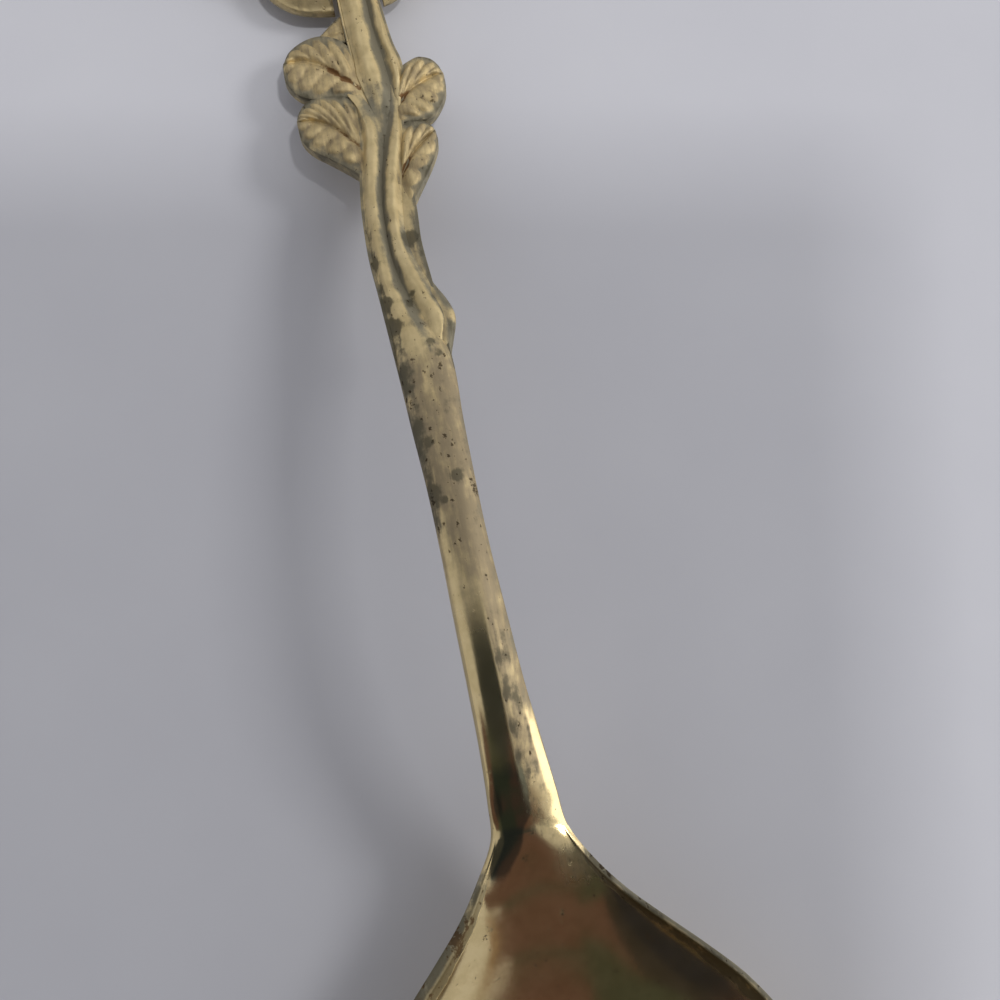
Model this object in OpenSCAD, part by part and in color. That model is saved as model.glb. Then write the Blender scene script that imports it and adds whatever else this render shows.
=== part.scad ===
// Rose teaspoon: a small spoon whose stem is a rose stalk with vines, leaves and a flower.
// The bowl's tip points along -Y, the flower along +Y, and the spoon lies on Z = 0.

/* [Bowl] */
// Length of the bowl from its tip to the neck
bowl_l = 46; // [42:0.5:52]
// Width of the bowl across its rim
bowl_w = 30; // [27:0.5:34]
// Height of the rim above the table where the bowl is widest
rim_h = 6.5; // [6:0.1:8]
// Height of the rim above the table at the tip
tip_h = 6.1; // [5.6:0.1:7.6]
// Thickness of the bowl's wall
bowl_wall = 0.95; // [0.8:0.05:1.3]
// Width of the flat rim
rim_w = 0.65; // [0.5:0.05:0.9]
// Height of the rim's outer edge
rim_edge = 0.5; // [0.4:0.05:0.8]
// How much the underside is worn flat where it rests
worn_flat = 0.12; // [0.06:0.02:0.2]

/* [Stem] */
// Length of the stem from the neck to the flower's edge
stem_l = 54; // [48:1:64]
// Width of the neck, where the stem meets the bowl
neck_w = 4.66; // [4.2:0.1:5.4]
// Height of the neck's edges above the table
neck_h = 6.65; // [6.2:0.05:7.4]
// Height of the stem's edges at the top of its arch
arch_h = 9.95; // [8.6:0.05:12]
// Height of the stem's edges where it reaches the flower
stalk_h = 2.45; // [2.3:0.05:3]
// Rise of the rounded top over the stem's edges
crown_h = 0.85; // [0.6:0.05:1.1]
// Height of the stem's sides at the neck
side_h = 0.8; // [0.6:0.05:1.1]
// Height of the stem's sides among the leaves
upper_side_h = 1.3; // [1.1:0.05:1.4]
// Depth of the rounded underside below the sides
belly_h = 0.65; // [0.4:0.05:0.9]
// Height of the vines over the face of the stem
vine_h = 0.6; // [0.4:0.05:0.8]
// How far the thorn stands out from the stem's side
thorn_out = 0.62; // [0.4:0.05:0.9]

/* [Leaves] */
// Length of the upper left leaf
upper_left_l = 4.5; // [4:0.1:5.4]
// Width of the upper left leaf
upper_left_w = 4; // [3.6:0.1:4.2]
// Length of the lower left leaf
lower_left_l = 4.1; // [3.6:0.1:4.8]
// Width of the lower left leaf
lower_left_w = 3.6; // [3.2:0.1:3.9]
// Length of the upper right leaf
upper_right_l = 2.7; // [2.4:0.1:3.4]
// Width of the upper right leaf
upper_right_w = 4; // [3.6:0.1:4.2]
// Length of the lower right leaf
lower_right_l = 2.7; // [2.4:0.1:3.3]
// Width of the lower right leaf
lower_right_w = 2.8; // [2.4:0.1:3]
// Length of the small plain leaf above the upper left one
small_leaf_l = 1.4; // [1.2:0.1:1.6]
// Width of the small plain leaf
small_leaf_w = 1.2; // [1:0.1:1.4]
// Thickness of a leaf at its tip
leaf_t = 0.9; // [0.7:0.05:1.2]
// How far a leaf's tip droops below its root
leaf_droop = 0.55; // [0.2:0.05:0.9]
// How far a leaf's face swells between its edges
leaf_swell = 0.3; // [0.15:0.05:0.45]
// Depth of the groove along a leaf's midrib
midrib_d = 0.22; // [0.1:0.02:0.3]

/* [Rose] */
// Diameter over the outer petals
rose_d = 19.2; // [18:0.2:22]
// How far the flower's middle lies to the right of the bowl's
rose_x = 0.5; // [0:0.1:1]
// Diameter of the flat back
back_d = 12.6; // [11.6:0.2:14.4]
// Thickness of the flat back
back_t = 1; // [0.8:0.05:1.15]
// Diameter of the raised middle that the petals grow from
core_d = 10.4; // [9.6:0.2:11]
// Height of the raised middle above the table
core_h = 2.9; // [2.75:0.05:3.3]
// Thickness of the outer petals where they leave the middle
petal_t = 1.3; // [1:0.05:1.6]
// Height of the rolled lip along an outer petal's rim
lip_h = 0.55; // [0.3:0.05:0.8]
// Step from the raised side of a petal to its tucked side
tuck_h = 0.5; // [0.2:0.05:0.7]
// Diameter over the inner petals
inner_d = 12.4; // [11.6:0.2:13.4]
// Height of the inner petals above the table
inner_h = 4.4; // [4:0.1:5]
// Diameter over the wrapped petals of the bud
wrap_d = 6.6; // [6:0.2:7.2]
// Height of the wrapped petals above the table
wrap_h = 5.1; // [4.8:0.1:5.6]
// Diameter of the bud
bud_d = 3.2; // [2.8:0.1:3.6]
// Height of the bud above the table
bud_h = 5.5; // [5.2:0.1:6]
// Clearance between the stem and the petals beside it
stem_gap = 0.15; // [0.1:0.05:0.3]

/* [Hidden] */

polished = [0.80, 0.68, 0.42];
satin = [0.72, 0.63, 0.42];
leaf_gold = [0.74, 0.66, 0.44];
petal_gold = [0.78, 0.67, 0.40];

// Places along the spoon are measured from the neck, towards the flower
rose_r = rose_d / 2;
rose_a = stem_l + rose_r;
// The notched petals reach this share of the flower's radius at the far end
far_reach_share = 0.971;
total_l = bowl_l + rose_a + far_reach_share * rose_r;
neck_y = bowl_l - total_l / 2;
widest_share = 0.52;
widest_l = widest_share * bowl_l;
front_l = bowl_l - widest_l;

// Half width of the bowl from its widest place to the neck, as shares of that length and of half the width
shoulder_shares = [
    [1.125, 0.985], [1, 1], [0.875, 0.985], [0.75, 0.94], [0.54, 0.793], [0.42, 0.68],
    [0.33, 0.556], [0.25, 0.434], [0.17, 0.318], [0.085, 0.222]
];
// Left and right side of the stem, as shares of its length and of the neck's width
side_shares = [
    [0, 0.46, 0.494], [0.037, 0.406, 0.446], [0.093, 0.374, 0.38], [0.148, 0.365, 0.322],
    [0.222, 0.358, 0.285], [0.296, 0.343, 0.258], [0.37, 0.343, 0.262], [0.444, 0.372, 0.283],
    [0.5, 0.386, 0.316], [0.611, 0.425, 0.29], [0.667, 0.447, 0.268], [0.704, 0.43, 0.3],
    [0.741, 0.39, 0.322], [0.778, 0.32, 0.343], [0.815, 0.236, 0.376], [0.852, 0.225, 0.429],
    [0.889, 0.172, 0.53], [0.917, 0.118, 0.55], [0.944, 0.118, 0.494], [0.981, 0.129, 0.461],
    [1.02, 0.129, 0.44], [1.12, 0.129, 0.44]
];
// Height of the stem's edges: the rise to the top of the arch, and the fall towards the flower
rise_shares = [[0.056, 0.394], [0.154, 0.879], [0.278, 1]];
fall_shares = [[0.463, 0.861], [0.667, 0.536], [0.852, 0.199], [0.935, 0.093], [1.019, 0.007], [1.12, 0]];
// Rise of the rounded top, from the bowl's heel to the end of the shank
heel_share = 0.15;
crown_shares = [[0, 0.88], [0.278, 1], [0.5, 0.75]];
// Height of the bowl's underside from the neck to its lowest place
keel_shares = [
    [0, 1], [0.125, 0.887], [0.25, 0.709], [0.417, 0.436], [0.583, 0.229], [0.75, 0.098],
    [0.875, 0.032], [1, 0]
];
heel_l = widest_l / 2;
bowl_round_share = 0.85;
stem_round_share = 0.5;
front_round_share = 0.8;
least_face_share = 0.86;
least_tip_face_share = 0.3;
belly_end_share = 0.7;
lower_side_share = 0.333;
upper_side_share = 0.7;
tip_turn = 88;

// Smooth value at x of a table of rows that start with a place, from its column c
function row_before(t, x, i = 0) = (i >= len(t) - 2 || x < t[i + 1][0]) ? i : row_before(t, x, i + 1);
function row_slope(t, i, c) =
    let (a = max(i - 1, 0), b = min(i + 1, len(t) - 1))
    (t[b][c] - t[a][c]) / (t[b][0] - t[a][0]);
function curve(t, x, c = 1) =
    let (
        i = row_before(t, x),
        w = t[i + 1][0] - t[i][0],
        u = min(max((x - t[i][0]) / w, 0), 1)
    )
    (1 + 2 * u) * pow(1 - u, 2) * t[i][c] + u * pow(1 - u, 2) * w * row_slope(t, i, c)
    + u * u * (3 - 2 * u) * t[i + 1][c] + u * u * (u - 1) * w * row_slope(t, i + 1, c);
function mix(a, b, u) = a + (b - a) * u;
function ease(u) = let (v = min(max(u, 0), 1)) v * v * (3 - 2 * v);

// Sides of the spoon, d = -1 for the left and 1 for the right
function side_table(d) = concat(
    [for (r = shoulder_shares) [-r[0] * widest_l, r[1] * bowl_w / 2]],
    [for (r = side_shares) [r[0] * stem_l, (d < 0 ? r[1] : r[2]) * neck_w]]
);
left_table = side_table(-1);
right_table = side_table(1);
function front_turn(a) = asin(min((-a - widest_l) / front_l, 1) * sin(tip_turn));
function side_w(a, d) =
    -a > widest_l ? bowl_w / 2 * cos(front_turn(a)) : curve(d < 0 ? left_table : right_table, a);
function side_x(a, d) = d * side_w(a, d);

// Height of the edge line, which is the rim of the bowl and the upper edge of the stem's sides
edge_table = concat(
    [[-bowl_l, tip_h], [-widest_l, rim_h], [-heel_share * bowl_l, neck_h], [0, neck_h]],
    [for (r = rise_shares) [r[0] * stem_l, mix(neck_h, arch_h, r[1])]],
    [for (r = fall_shares) [r[0] * stem_l, mix(stalk_h, arch_h, r[1])]]
);
function edge_z(a) = curve(edge_table, a);
wall_table = [
    [-widest_l, rim_edge], [-heel_l, rim_edge], [0, side_h], [lower_side_share * stem_l, side_h],
    [upper_side_share * stem_l, upper_side_h], [stem_l, upper_side_h]
];
function wall_h(a) = curve(wall_table, a);
function crown(a) =
    crown_h * (
        a < 0 ? crown_shares[0][1] * (1 - ease(-a / (heel_share * bowl_l)))
        : curve(crown_shares, a / stem_l)
    );

// The bowl: underside, thickness below the edge line, and depth of the dish
neck_low = neck_h - side_h - belly_h;
function front_round(a, length) =
    pow(1 - pow(min((-a - widest_l) / length, 1), 2), front_round_share);
function keel_z(a) =
    -a > widest_l ? mix(edge_z(a) - wall_h(a), -worn_flat, front_round(a, front_l))
    : mix(-worn_flat, neck_low, curve(keel_shares, -a / widest_l));
function body_t(a) = mix(side_h + belly_h, bowl_wall, ease(-a / heel_l));
function dish_d(a) =
    a >= 0 ? 0
    : -a > widest_l ? (edge_z(a) + worn_flat - bowl_wall) * front_round(a, front_l - rim_w)
    : max(edge_z(a) - keel_z(a) - body_t(a), 0);
function belly(a) =
    a < 0 ? edge_z(a) - wall_h(a) - keel_z(a)
    : belly_h * mix(1, belly_end_share, ease(2 * a / stem_l - 1));
function round_share(a) = mix(stem_round_share, bowl_round_share, ease(-a / heel_l));

// Share of the half width that lies inside the rim
probe_share = 0.1;
probe_l = probe_share * rim_w;
function side_slope(a) = (side_w(a + probe_l, 1) - side_w(a - probe_l, 1)) / (2 * probe_l);
function rim_across(a) = rim_w * sqrt(1 + pow(side_slope(a), 2));
function front_inner(a) =
    (bowl_w / 2 - rim_w) * sqrt(1 - pow(min((-a - widest_l) / (front_l - rim_w), 1), 2));
function face_share(a) =
    -a > widest_l ? max(front_inner(a) / side_w(a, 1), least_tip_face_share)
    : max((side_w(a, 1) - rim_across(a)) / side_w(a, 1), least_face_share);

// Section of the bowl and the stem: upper and lower height at a share u of the half width
columns = 24;
function column_share(a, j) =
    j == 0 ? -1 : j == columns ? 1 : -face_share(a) * cos(180 * (j - 1) / (columns - 2));
function bulge(u, power) = pow(max(1 - u * u, 0), power);
function section_x(a, u) = u < 0 ? -u * side_x(a, -1) : u * side_x(a, 1);
function face_z(a, u) =
    edge_z(a) + crown(a) * bulge(u, round_share(a))
    - dish_d(a) * bulge(min(abs(u) / face_share(a), 1), round_share(a));
function low_z(a, u) = edge_z(a) - wall_h(a) - belly(a) * bulge(u, round_share(a));
function upper_point(a, u) = [section_x(a, u), neck_y + a, face_z(a, u)];
function lower_point(a, u, floor_z) = [section_x(a, u), neck_y + a, max(low_z(a, u), floor_z)];
function upper_row(a) = [for (j = [0:columns]) upper_point(a, column_share(a, j))];
function lower_row(a, floor_z) = [for (j = [0:columns]) lower_point(a, column_share(a, j), floor_z)];
// The upper stem is flat on its face, so it needs fewer columns
stem_columns = 12;
function stem_share(j) = -cos(180 * j / stem_columns);
function flat_row(a) = [for (j = [0:stem_columns]) [section_x(a, stem_share(j)), neck_y + a, edge_z(a)]];
function under_row(a) = [for (j = [0:stem_columns]) lower_point(a, stem_share(j), back_t)];

// Closed solid between a grid of upper points and a grid of lower points, in triangles
function halves(a, b, c, d) = [[a, b, c], [a, c, d]];
module slab(uppers, lowers) {
    rows = len(uppers);
    cols = len(uppers[0]);
    under = rows * cols;
    function at(i, j) = i * cols + j;
    last_i = rows - 1;
    last_j = cols - 1;
    cells = [for (i = [0:rows - 2], j = [0:cols - 2]) [i, j]];
    polyhedron(
        points = concat([for (r = uppers) each r], [for (r = lowers) each r]),
        faces = concat(
            [for (c = cells) each halves(
                at(c[0], c[1]), at(c[0] + 1, c[1]), at(c[0] + 1, c[1] + 1), at(c[0], c[1] + 1))],
            [for (c = cells) each halves(
                under + at(c[0], c[1]), under + at(c[0], c[1] + 1),
                under + at(c[0] + 1, c[1] + 1), under + at(c[0] + 1, c[1]))],
            [for (j = [0:cols - 2]) each halves(
                at(0, j), at(0, j + 1), under + at(0, j + 1), under + at(0, j))],
            [for (j = [0:cols - 2]) each halves(
                at(last_i, j + 1), at(last_i, j), under + at(last_i, j), under + at(last_i, j + 1))],
            [for (i = [0:rows - 2]) each halves(
                at(i + 1, 0), at(i, 0), under + at(i, 0), under + at(i + 1, 0))],
            [for (i = [0:rows - 2]) each halves(
                at(i, last_j), at(i + 1, last_j), under + at(i + 1, last_j), under + at(i, last_j))]
        ),
        convexity = 6
    );
}

// Stations of the bowl, from its tip to the neck
front_steps = 16;
heel_steps = 18;
bowl_stations = concat(
    [for (i = [0:front_steps]) -widest_l - front_l * sin(tip_turn * (1 - i / front_steps)) / sin(tip_turn)],
    [for (i = [1:heel_steps]) -widest_l * (1 - i / heel_steps)]
);
// Stations of the shank and of the stem above it
shank_share = 0.5;
shank_l = shank_share * stem_l;
shank_steps = 18;
stem_steps = 36;
stem_end = rose_a - core_d / 2;
function stem_station(k) = mix(shank_l, stem_end, k / stem_steps);

// The bowl, with its dish, its flat rim and its worn underside
module bowl() {
    color(polished)
        slab([for (a = bowl_stations) upper_row(a)], [for (a = bowl_stations) lower_row(a, 0)]);
}

// The polished lower half of the stem
module shank() {
    stations = [for (i = [0:shank_steps]) shank_l * i / shank_steps];
    color(polished)
        slab([for (a = stations) upper_row(a)], [for (a = stations) lower_row(a, back_t)]);
}

// The flat upper half of the stem, which carries the vines and the leaves
module stem() {
    stations = [for (k = [0:stem_steps]) stem_station(k)];
    color(satin)
        slab([for (a = stations) flat_row(a)], [for (a = stations) under_row(a)]);
}

// Vines on the face of the stem: place and middle, half width and height, as shares of the
// stem's length, the neck's width, the neck's width and the vine's height
main_vine_shares = [
    [0.5, -0.035, 0.351, 1.06], [0.54, -0.095, 0.29, 1.03], [0.574, -0.185, 0.22, 1],
    [0.611, -0.252, 0.161, 0.97], [0.667, -0.298, 0.133, 0.92], [0.713, -0.29, 0.118, 0.92],
    [0.759, -0.225, 0.107, 0.95], [0.796, -0.129, 0.103, 0.95], [0.833, -0.082, 0.103, 0.9],
    [0.867, -0.107, 0.09, 0.4]
];
side_vine_shares = [
    [0.561, 0.225, 0.086, 0.5], [0.593, 0.161, 0.094, 0.85], [0.639, 0.011, 0.103, 1],
    [0.672, -0.032, 0.1, 0.98], [0.713, -0.011, 0.094, 0.95], [0.754, 0.058, 0.09, 0.95],
    [0.794, 0.172, 0.088, 0.95], [0.82, 0.268, 0.084, 0.9], [0.848, 0.311, 0.075, 0.4]
];
flower_stalk_shares = [
    [0.876, 0.161, 0.107, 0.3], [0.907, 0.118, 0.15, 0.8], [0.944, 0.086, 0.18, 0.9],
    [0.981, 0.075, 0.182, 0.9], [1.02, 0.075, 0.182, 0.8], [1.06, 0.075, 0.182, 0.4],
    [1.12, 0.075, 0.182, 0.4]
];
side_stalk_shares = [
    [0.867, 0.386, 0.064, 0.4], [0.896, 0.461, 0.073, 0.8], [0.926, 0.446, 0.075, 0.85],
    [0.963, 0.378, 0.073, 0.8], [1.02, 0.348, 0.075, 0.7], [1.06, 0.348, 0.075, 0.4],
    [1.12, 0.348, 0.075, 0.4]
];
vine_columns = 8;
vine_edge_share = 0.12;
function vine_row(t, a, rise) =
    let (
        p = a / stem_l,
        middle = curve(t, p, 1) * neck_w,
        half = curve(t, p, 2) * neck_w,
        top = rise * curve(t, p, 3) * vine_h
    )
    [for (j = [0:vine_columns])
        let (turn = 180 * j / vine_columns)
        [middle - half * cos(turn), neck_y + a, edge_z(a) + top * mix(vine_edge_share, 1, sin(turn))]
    ];
module vine(t) {
    stations = [for (k = [first_station(t):last_station(t)]) stem_station(k)];
    color(satin)
        slab([for (a = stations) vine_row(t, a, 1)], [for (a = stations) vine_row(t, a, 0)]);
}
function station_near(share) =
    round(stem_steps * (share * stem_l - shank_l) / (stem_end - shank_l));

// Place on the stem's side wall, d = -1 for the left and 1 for the right, at station k or between two
function side_point(k, d, drop) =
    let (k0 = floor(k), k1 = ceil(k), a0 = stem_station(k0), a1 = stem_station(k1), u = k - k0)
    [
        mix(side_x(a0, d), side_x(a1, d), u),
        neck_y + mix(a0, a1, u),
        mix(edge_z(a0) - drop * wall_h(a0), edge_z(a1) - drop * wall_h(a1), u)
    ];

// The thorn on the right side, a rounded stub that runs out along the stem
thorn_from_share = 0.524;
thorn_to_share = 0.628;
thorn_rows = 4;
thorn_k = [station_near(thorn_from_share), station_near(thorn_to_share)];
thorn_peak_share = 0.42;
thorn_edge_share = 0.06;
thorn_fall_share = 0.3;
function thorn_swell(v) =
    v < thorn_peak_share ? sin(90 * v / thorn_peak_share)
    : pow(cos(90 * (v - thorn_peak_share) / (1 - thorn_peak_share)), 2);
function thorn_point(i, j, drop) =
    let (
        v = 1 - j / (2 * (thorn_k[1] - thorn_k[0])),
        k = mix(thorn_k[0], thorn_k[1], v),
        root = side_point(k, 1, drop),
        turn = 90 * i / thorn_rows,
        out = thorn_out * mix(thorn_edge_share, 1, thorn_swell(v)),
        fall = thorn_fall_share * out * (1 - cos(turn))
    )
    [root[0] + out * sin(turn), root[1], root[2] + (2 * drop - 1) * fall];
module thorn() {
    cols = 2 * (thorn_k[1] - thorn_k[0]);
    color(satin)
        slab(
            [for (i = [0:thorn_rows]) [for (j = [0:cols]) thorn_point(i, j, 0)]],
            [for (i = [0:thorn_rows]) [for (j = [0:cols]) thorn_point(i, j, 1)]]
        );
}

// A leaf grows from the stem's side between two stations. Its midrib leaves at an angle that
// is measured from straight sideways towards the flower, and it is widest near its middle.
leaf_rows = 9;
leaf_tip_turn = 82;
leaf_middle_share = 0.45;
leaf_relief_turn = 150;
leaf_clear_share = 0.25;
function leaf_half(p, root_half, half) =
    p < leaf_middle_share ? mix(root_half, half, ease(p / leaf_middle_share))
    : half * sqrt(1 - pow((p - leaf_middle_share) / (1 - leaf_middle_share) * sin(leaf_tip_turn), 2));
function leaf_z(p, q, cols, root_z, drop) =
    let (
        relief = sin(min(180 * p, leaf_relief_turn)),
        swell = leaf_swell * (1 - q * q) * relief,
        groove = midrib_d * max(1 - abs(q) * cols / 2, 0) * relief
    )
    root_z - leaf_droop * p * p + (drop == 0 ? swell - groove : -mix(upper_side_h, leaf_t, p));
function leaf_grid(k0, k1, d, length, width, angle, drop) =
    let (
        cols = 2 * (k1 - k0),
        middle = side_point((k0 + k1) / 2, d, 0),
        root_half = (stem_station(k1) - stem_station(k0)) / 2,
        along = [d * cos(angle), sin(angle)],
        across = [-d * sin(angle), cos(angle)]
    )
    [for (i = [0:leaf_rows]) [for (j = [0:cols])
        let (
            p = sin(90 * i / leaf_rows),
            q = d * (1 - 2 * j / cols),
            root = side_point(mix(k0, k1, (q + 1) / 2), d, drop),
            half = leaf_half(p, root_half, width / 2),
            blade = [middle[0], middle[1]] + along * p * length + across * q * half,
            z = leaf_z(p, q, cols, middle[2], drop),
            leave = ease(p / leaf_middle_share),
            clear_x = d * root[0] + leaf_clear_share * leaf_t * p
        )
        [
            d * max(d * mix(root[0], blade[0], leave), clear_x),
            mix(root[1], blade[1], leave),
            mix(root[2], z, leave)
        ]
    ]];
function root_low(down, root_l) = station_near(1 - (down + root_l / 2) / stem_l);
function root_high(down, root_l) = station_near(1 - (down - root_l / 2) / stem_l);
module leaf(k0, k1, d, length, width, angle) {
    color(leaf_gold)
        slab(leaf_grid(k0, k1, d, length, width, angle, 0), leaf_grid(k0, k1, d, length, width, angle, 1));
}
// The middle of each leaf's root is counted down from the flower's edge, and its length is a
// share of the leaf's width. The gaps keep the blades on each side apart.
upper_left_down_share = 1.075;
upper_right_down_share = 1.65;
left_gap_l = 1.35;
right_gap_l = 1.7;
upper_left_root_share = 0.93;
lower_left_root_share = 1.35;
upper_right_root_share = 1.134;
lower_right_root_share = 1.485;
upper_left_down = upper_left_down_share * upper_left_w;
lower_left_down = upper_left_down + (upper_left_w + lower_left_w) / 2 + left_gap_l;
upper_right_down = upper_right_down_share * upper_right_w;
lower_right_down = upper_right_down + (upper_right_w + lower_right_w) / 2 + right_gap_l;
upper_left_turn = 20;
lower_left_turn = 32;
upper_right_turn = 16;
lower_right_turn = 46;
small_leaf_turn = -36;
module leaf_upper_left() {
    root_l = upper_left_root_share * upper_left_w;
    k0 = root_low(upper_left_down, root_l);
    k1 = root_high(upper_left_down, root_l);
    leaf(k0, k1, -1, upper_left_l, upper_left_w, upper_left_turn);
}
module leaf_lower_left() {
    root_l = lower_left_root_share * lower_left_w;
    k0 = root_low(lower_left_down, root_l);
    k1 = root_high(lower_left_down, root_l);
    leaf(k0, k1, -1, lower_left_l, lower_left_w, lower_left_turn);
}
module leaf_upper_right() {
    root_l = upper_right_root_share * upper_right_w;
    k0 = root_low(upper_right_down, root_l);
    k1 = root_high(upper_right_down, root_l);
    leaf(k0, k1, 1, upper_right_l, upper_right_w, upper_right_turn);
}
module leaf_lower_right() {
    root_l = lower_right_root_share * lower_right_w;
    k0 = root_low(lower_right_down, root_l);
    k1 = root_high(lower_right_down, root_l);
    leaf(k0, k1, 1, lower_right_l, lower_right_w, lower_right_turn);
}
// The small leaf fills the stretch between the upper left leaf and the flower's edge
module leaf_small() {
    below = root_high(upper_left_down, upper_left_root_share * upper_left_w);
    leaf(below + 1, station_near(1), -1, small_leaf_l, small_leaf_w, small_leaf_turn);
}

function first_station(t) = station_near(t[0][0]);
function last_station(t) = min(station_near(t[len(t) - 1][0]), stem_steps);
module main_vine() {
    vine(main_vine_shares);
}
module side_vine() {
    vine(side_vine_shares);
}
module flower_stalk() {
    vine(flower_stalk_shares);
}
module side_stalk() {
    vine(side_stalk_shares);
}

// The flower. Its flat back rests on the table, and its petals grow from the raised middle.
round_sides = 90;
module at_flower() {
    translate([rose_x, neck_y + rose_a, 0])
        children();
}
module rose_back() {
    color(satin)
        at_flower()
            cylinder(d = back_d, h = back_t, $fn = round_sides);
}
module rose_core() {
    color(petal_gold)
        at_flower()
            translate([0, 0, back_t])
                cylinder(d = core_d, h = core_h - back_t, $fn = round_sides);
}

// A petal fills a sector of a ring. Its face runs from its root over a rolled lip to its rim,
// and one side of it is raised over the tucked side of the next.
petal_columns = 10;
petal_row_shares = [0, 0.25, 0.5, 0.66, 0.78, 0.88, 0.95, 1];
lip_share = 0.8;
hollow_share = 0.2;
function petal_face(t, root, lip, rim) =
    curve([
        [-lip_share, lip], [0, root], [lip_share / 2, mix(root, lip, hollow_share)],
        [lip_share, lip], [1, rim]
    ], t);
notch_power = 3.5;
function petal_r(t, v, r0, r1, notch) = mix(r0, r1 * (1 - notch * pow(abs(v), notch_power)), t);
function petal_angle(v, span, r) =
    mix(span[0] + asin(span[2] / r), span[1] - asin(span[3] / r), (v + 1) / 2);
// A span holds the two angles that a petal lies between, the clearances at its two sides, and
// the middle and half width of its lobe
function plain_span(from, to) = [from, to, 0, 0, (from + to) / 2, (to - from) / 2];
function petal_grid(span, r0, r1, notch) =
    [for (t = petal_row_shares) [for (j = [0:petal_columns])
        let (
            v = 1 - 2 * j / petal_columns,
            lobe_v = (petal_angle(v, span, r1) - span[4]) / span[5],
            r = petal_r(t, lobe_v, r0, r1, notch)
        )
        [r, petal_angle(v, span, r), t, lobe_v]
    ]];
function petal_upper(grid, heights, tuck) =
    [for (row = grid) [for (g = row) [
        g[0] * cos(g[1]), g[0] * sin(g[1]),
        petal_face(g[2], heights[0], heights[1], heights[2]) + tuck * g[3] / 2 * ease(2 * g[2])
    ]]];
function petal_lower(grid, low, seat_r, r1, curl) =
    [for (row = grid) [for (g = row) [
        g[0] * cos(g[1]), g[0] * sin(g[1]), low + curl * pow(max(g[0] - seat_r, 0) / (r1 - seat_r), 2)
    ]]];
function clear_r(d, turn) = d / 2 / cos(turn / petal_columns / 2);

// Outer petals, five round the middle. The stem crosses the lowest one, which is made in two
// pieces that stop short of the stem's sides.
outer_count = 5;
outer_turn = 360 / outer_count;
outer_first = 226;
stem_side_turn = 270;
outer_notch_share = 0.14;
outer_curl_share = 0.33;
outer_curl = outer_curl_share * petal_t;
gap_share = 0.981;
left_gap = rose_x - side_x(gap_share * stem_l, -1) + stem_gap;
right_gap = side_x(gap_share * stem_l, 1) - rose_x + stem_gap;
lowest_middle = outer_first + outer_turn / 2;
outer_spans = concat(
    [[outer_first, stem_side_turn, 0, left_gap, lowest_middle, outer_turn / 2]],
    [for (n = [1:outer_count - 1])
        plain_span(outer_first - n * outer_turn, outer_first - (n - 1) * outer_turn)],
    [[stem_side_turn, outer_first + outer_turn, right_gap, 0, lowest_middle, outer_turn / 2]]
);
module outer_petal(n) {
    root = back_t + petal_t;
    grid = petal_grid(outer_spans[n - 1], clear_r(core_d, outer_turn), rose_r, outer_notch_share);
    color(petal_gold)
        at_flower()
            slab(
                petal_upper(grid, [root, root + lip_h, root], tuck_h),
                petal_lower(grid, back_t, back_d / 2, rose_r, outer_curl)
            );
}

// Inner petals, five on the raised middle, set between the outer ones
inner_first = outer_first + outer_turn / 2;
inner_notch_share = 0.1;
inner_root_share = 0.5;
inner_rim_share = 0.75;
module inner_petal(n) {
    from = inner_first - n * outer_turn;
    rise = inner_h - tuck_h / 2 - core_h;
    heights = [core_h + inner_root_share * rise, core_h + rise, core_h + inner_rim_share * rise];
    span = plain_span(from, from + outer_turn);
    grid = petal_grid(span, clear_r(wrap_d, outer_turn), inner_d / 2, inner_notch_share);
    color(petal_gold)
        at_flower()
            slab(petal_upper(grid, heights, tuck_h), petal_lower(grid, core_h, 0, inner_d / 2, 0));
}

// Wrapped petals, three round the bud
wrap_count = 3;
wrap_turn = 360 / wrap_count;
wrap_notch_share = 0.08;
wrap_root_share = 0.7;
wrap_rim_share = 0.8;
module wrap(n) {
    from = (n - 1) * wrap_turn;
    rise = wrap_h - tuck_h / 2 - core_h;
    heights = [core_h + wrap_root_share * rise, core_h + rise, core_h + wrap_rim_share * rise];
    span = plain_span(from, from + wrap_turn);
    grid = petal_grid(span, clear_r(bud_d, wrap_turn), wrap_d / 2, wrap_notch_share);
    color(petal_gold)
        at_flower()
            slab(petal_upper(grid, heights, tuck_h), petal_lower(grid, core_h, 0, wrap_d / 2, 0));
}

// The bud, a rounded cone with a small dimple in its top
dimple_share = 0.35;
bud_shoulder_share = 0.6;
bud_steps = 6;
module bud() {
    rise = bud_h - core_h;
    r = bud_d / 2;
    color(petal_gold)
        at_flower()
            translate([0, 0, core_h])
                rotate_extrude($fn = round_sides)
                    polygon(concat(
                        [[0, 0], [r, 0], [r, bud_shoulder_share * rise]],
                        [for (i = [1:bud_steps - 1]) [
                            r * mix(dimple_share, 1, cos(90 * i / bud_steps)),
                            rise * mix(bud_shoulder_share, 1, sin(90 * i / bud_steps))
                        ]],
                        [[dimple_share * r, rise], [0, rise - dimple_share * r / 2]]
                    ));
}

bowl();
shank();
stem();
main_vine();
side_vine();
flower_stalk();
side_stalk();
thorn();
leaf_upper_left();
leaf_lower_left();
leaf_upper_right();
leaf_lower_right();
leaf_small();
rose_back();
rose_core();
for (n = [1:len(outer_spans)]) outer_petal(n);
for (n = [1:outer_count]) inner_petal(n);
for (n = [1:wrap_count]) wrap(n);
bud();
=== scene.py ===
import math

import bmesh
import bpy
from mathutils import Matrix, Vector, noise


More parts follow.
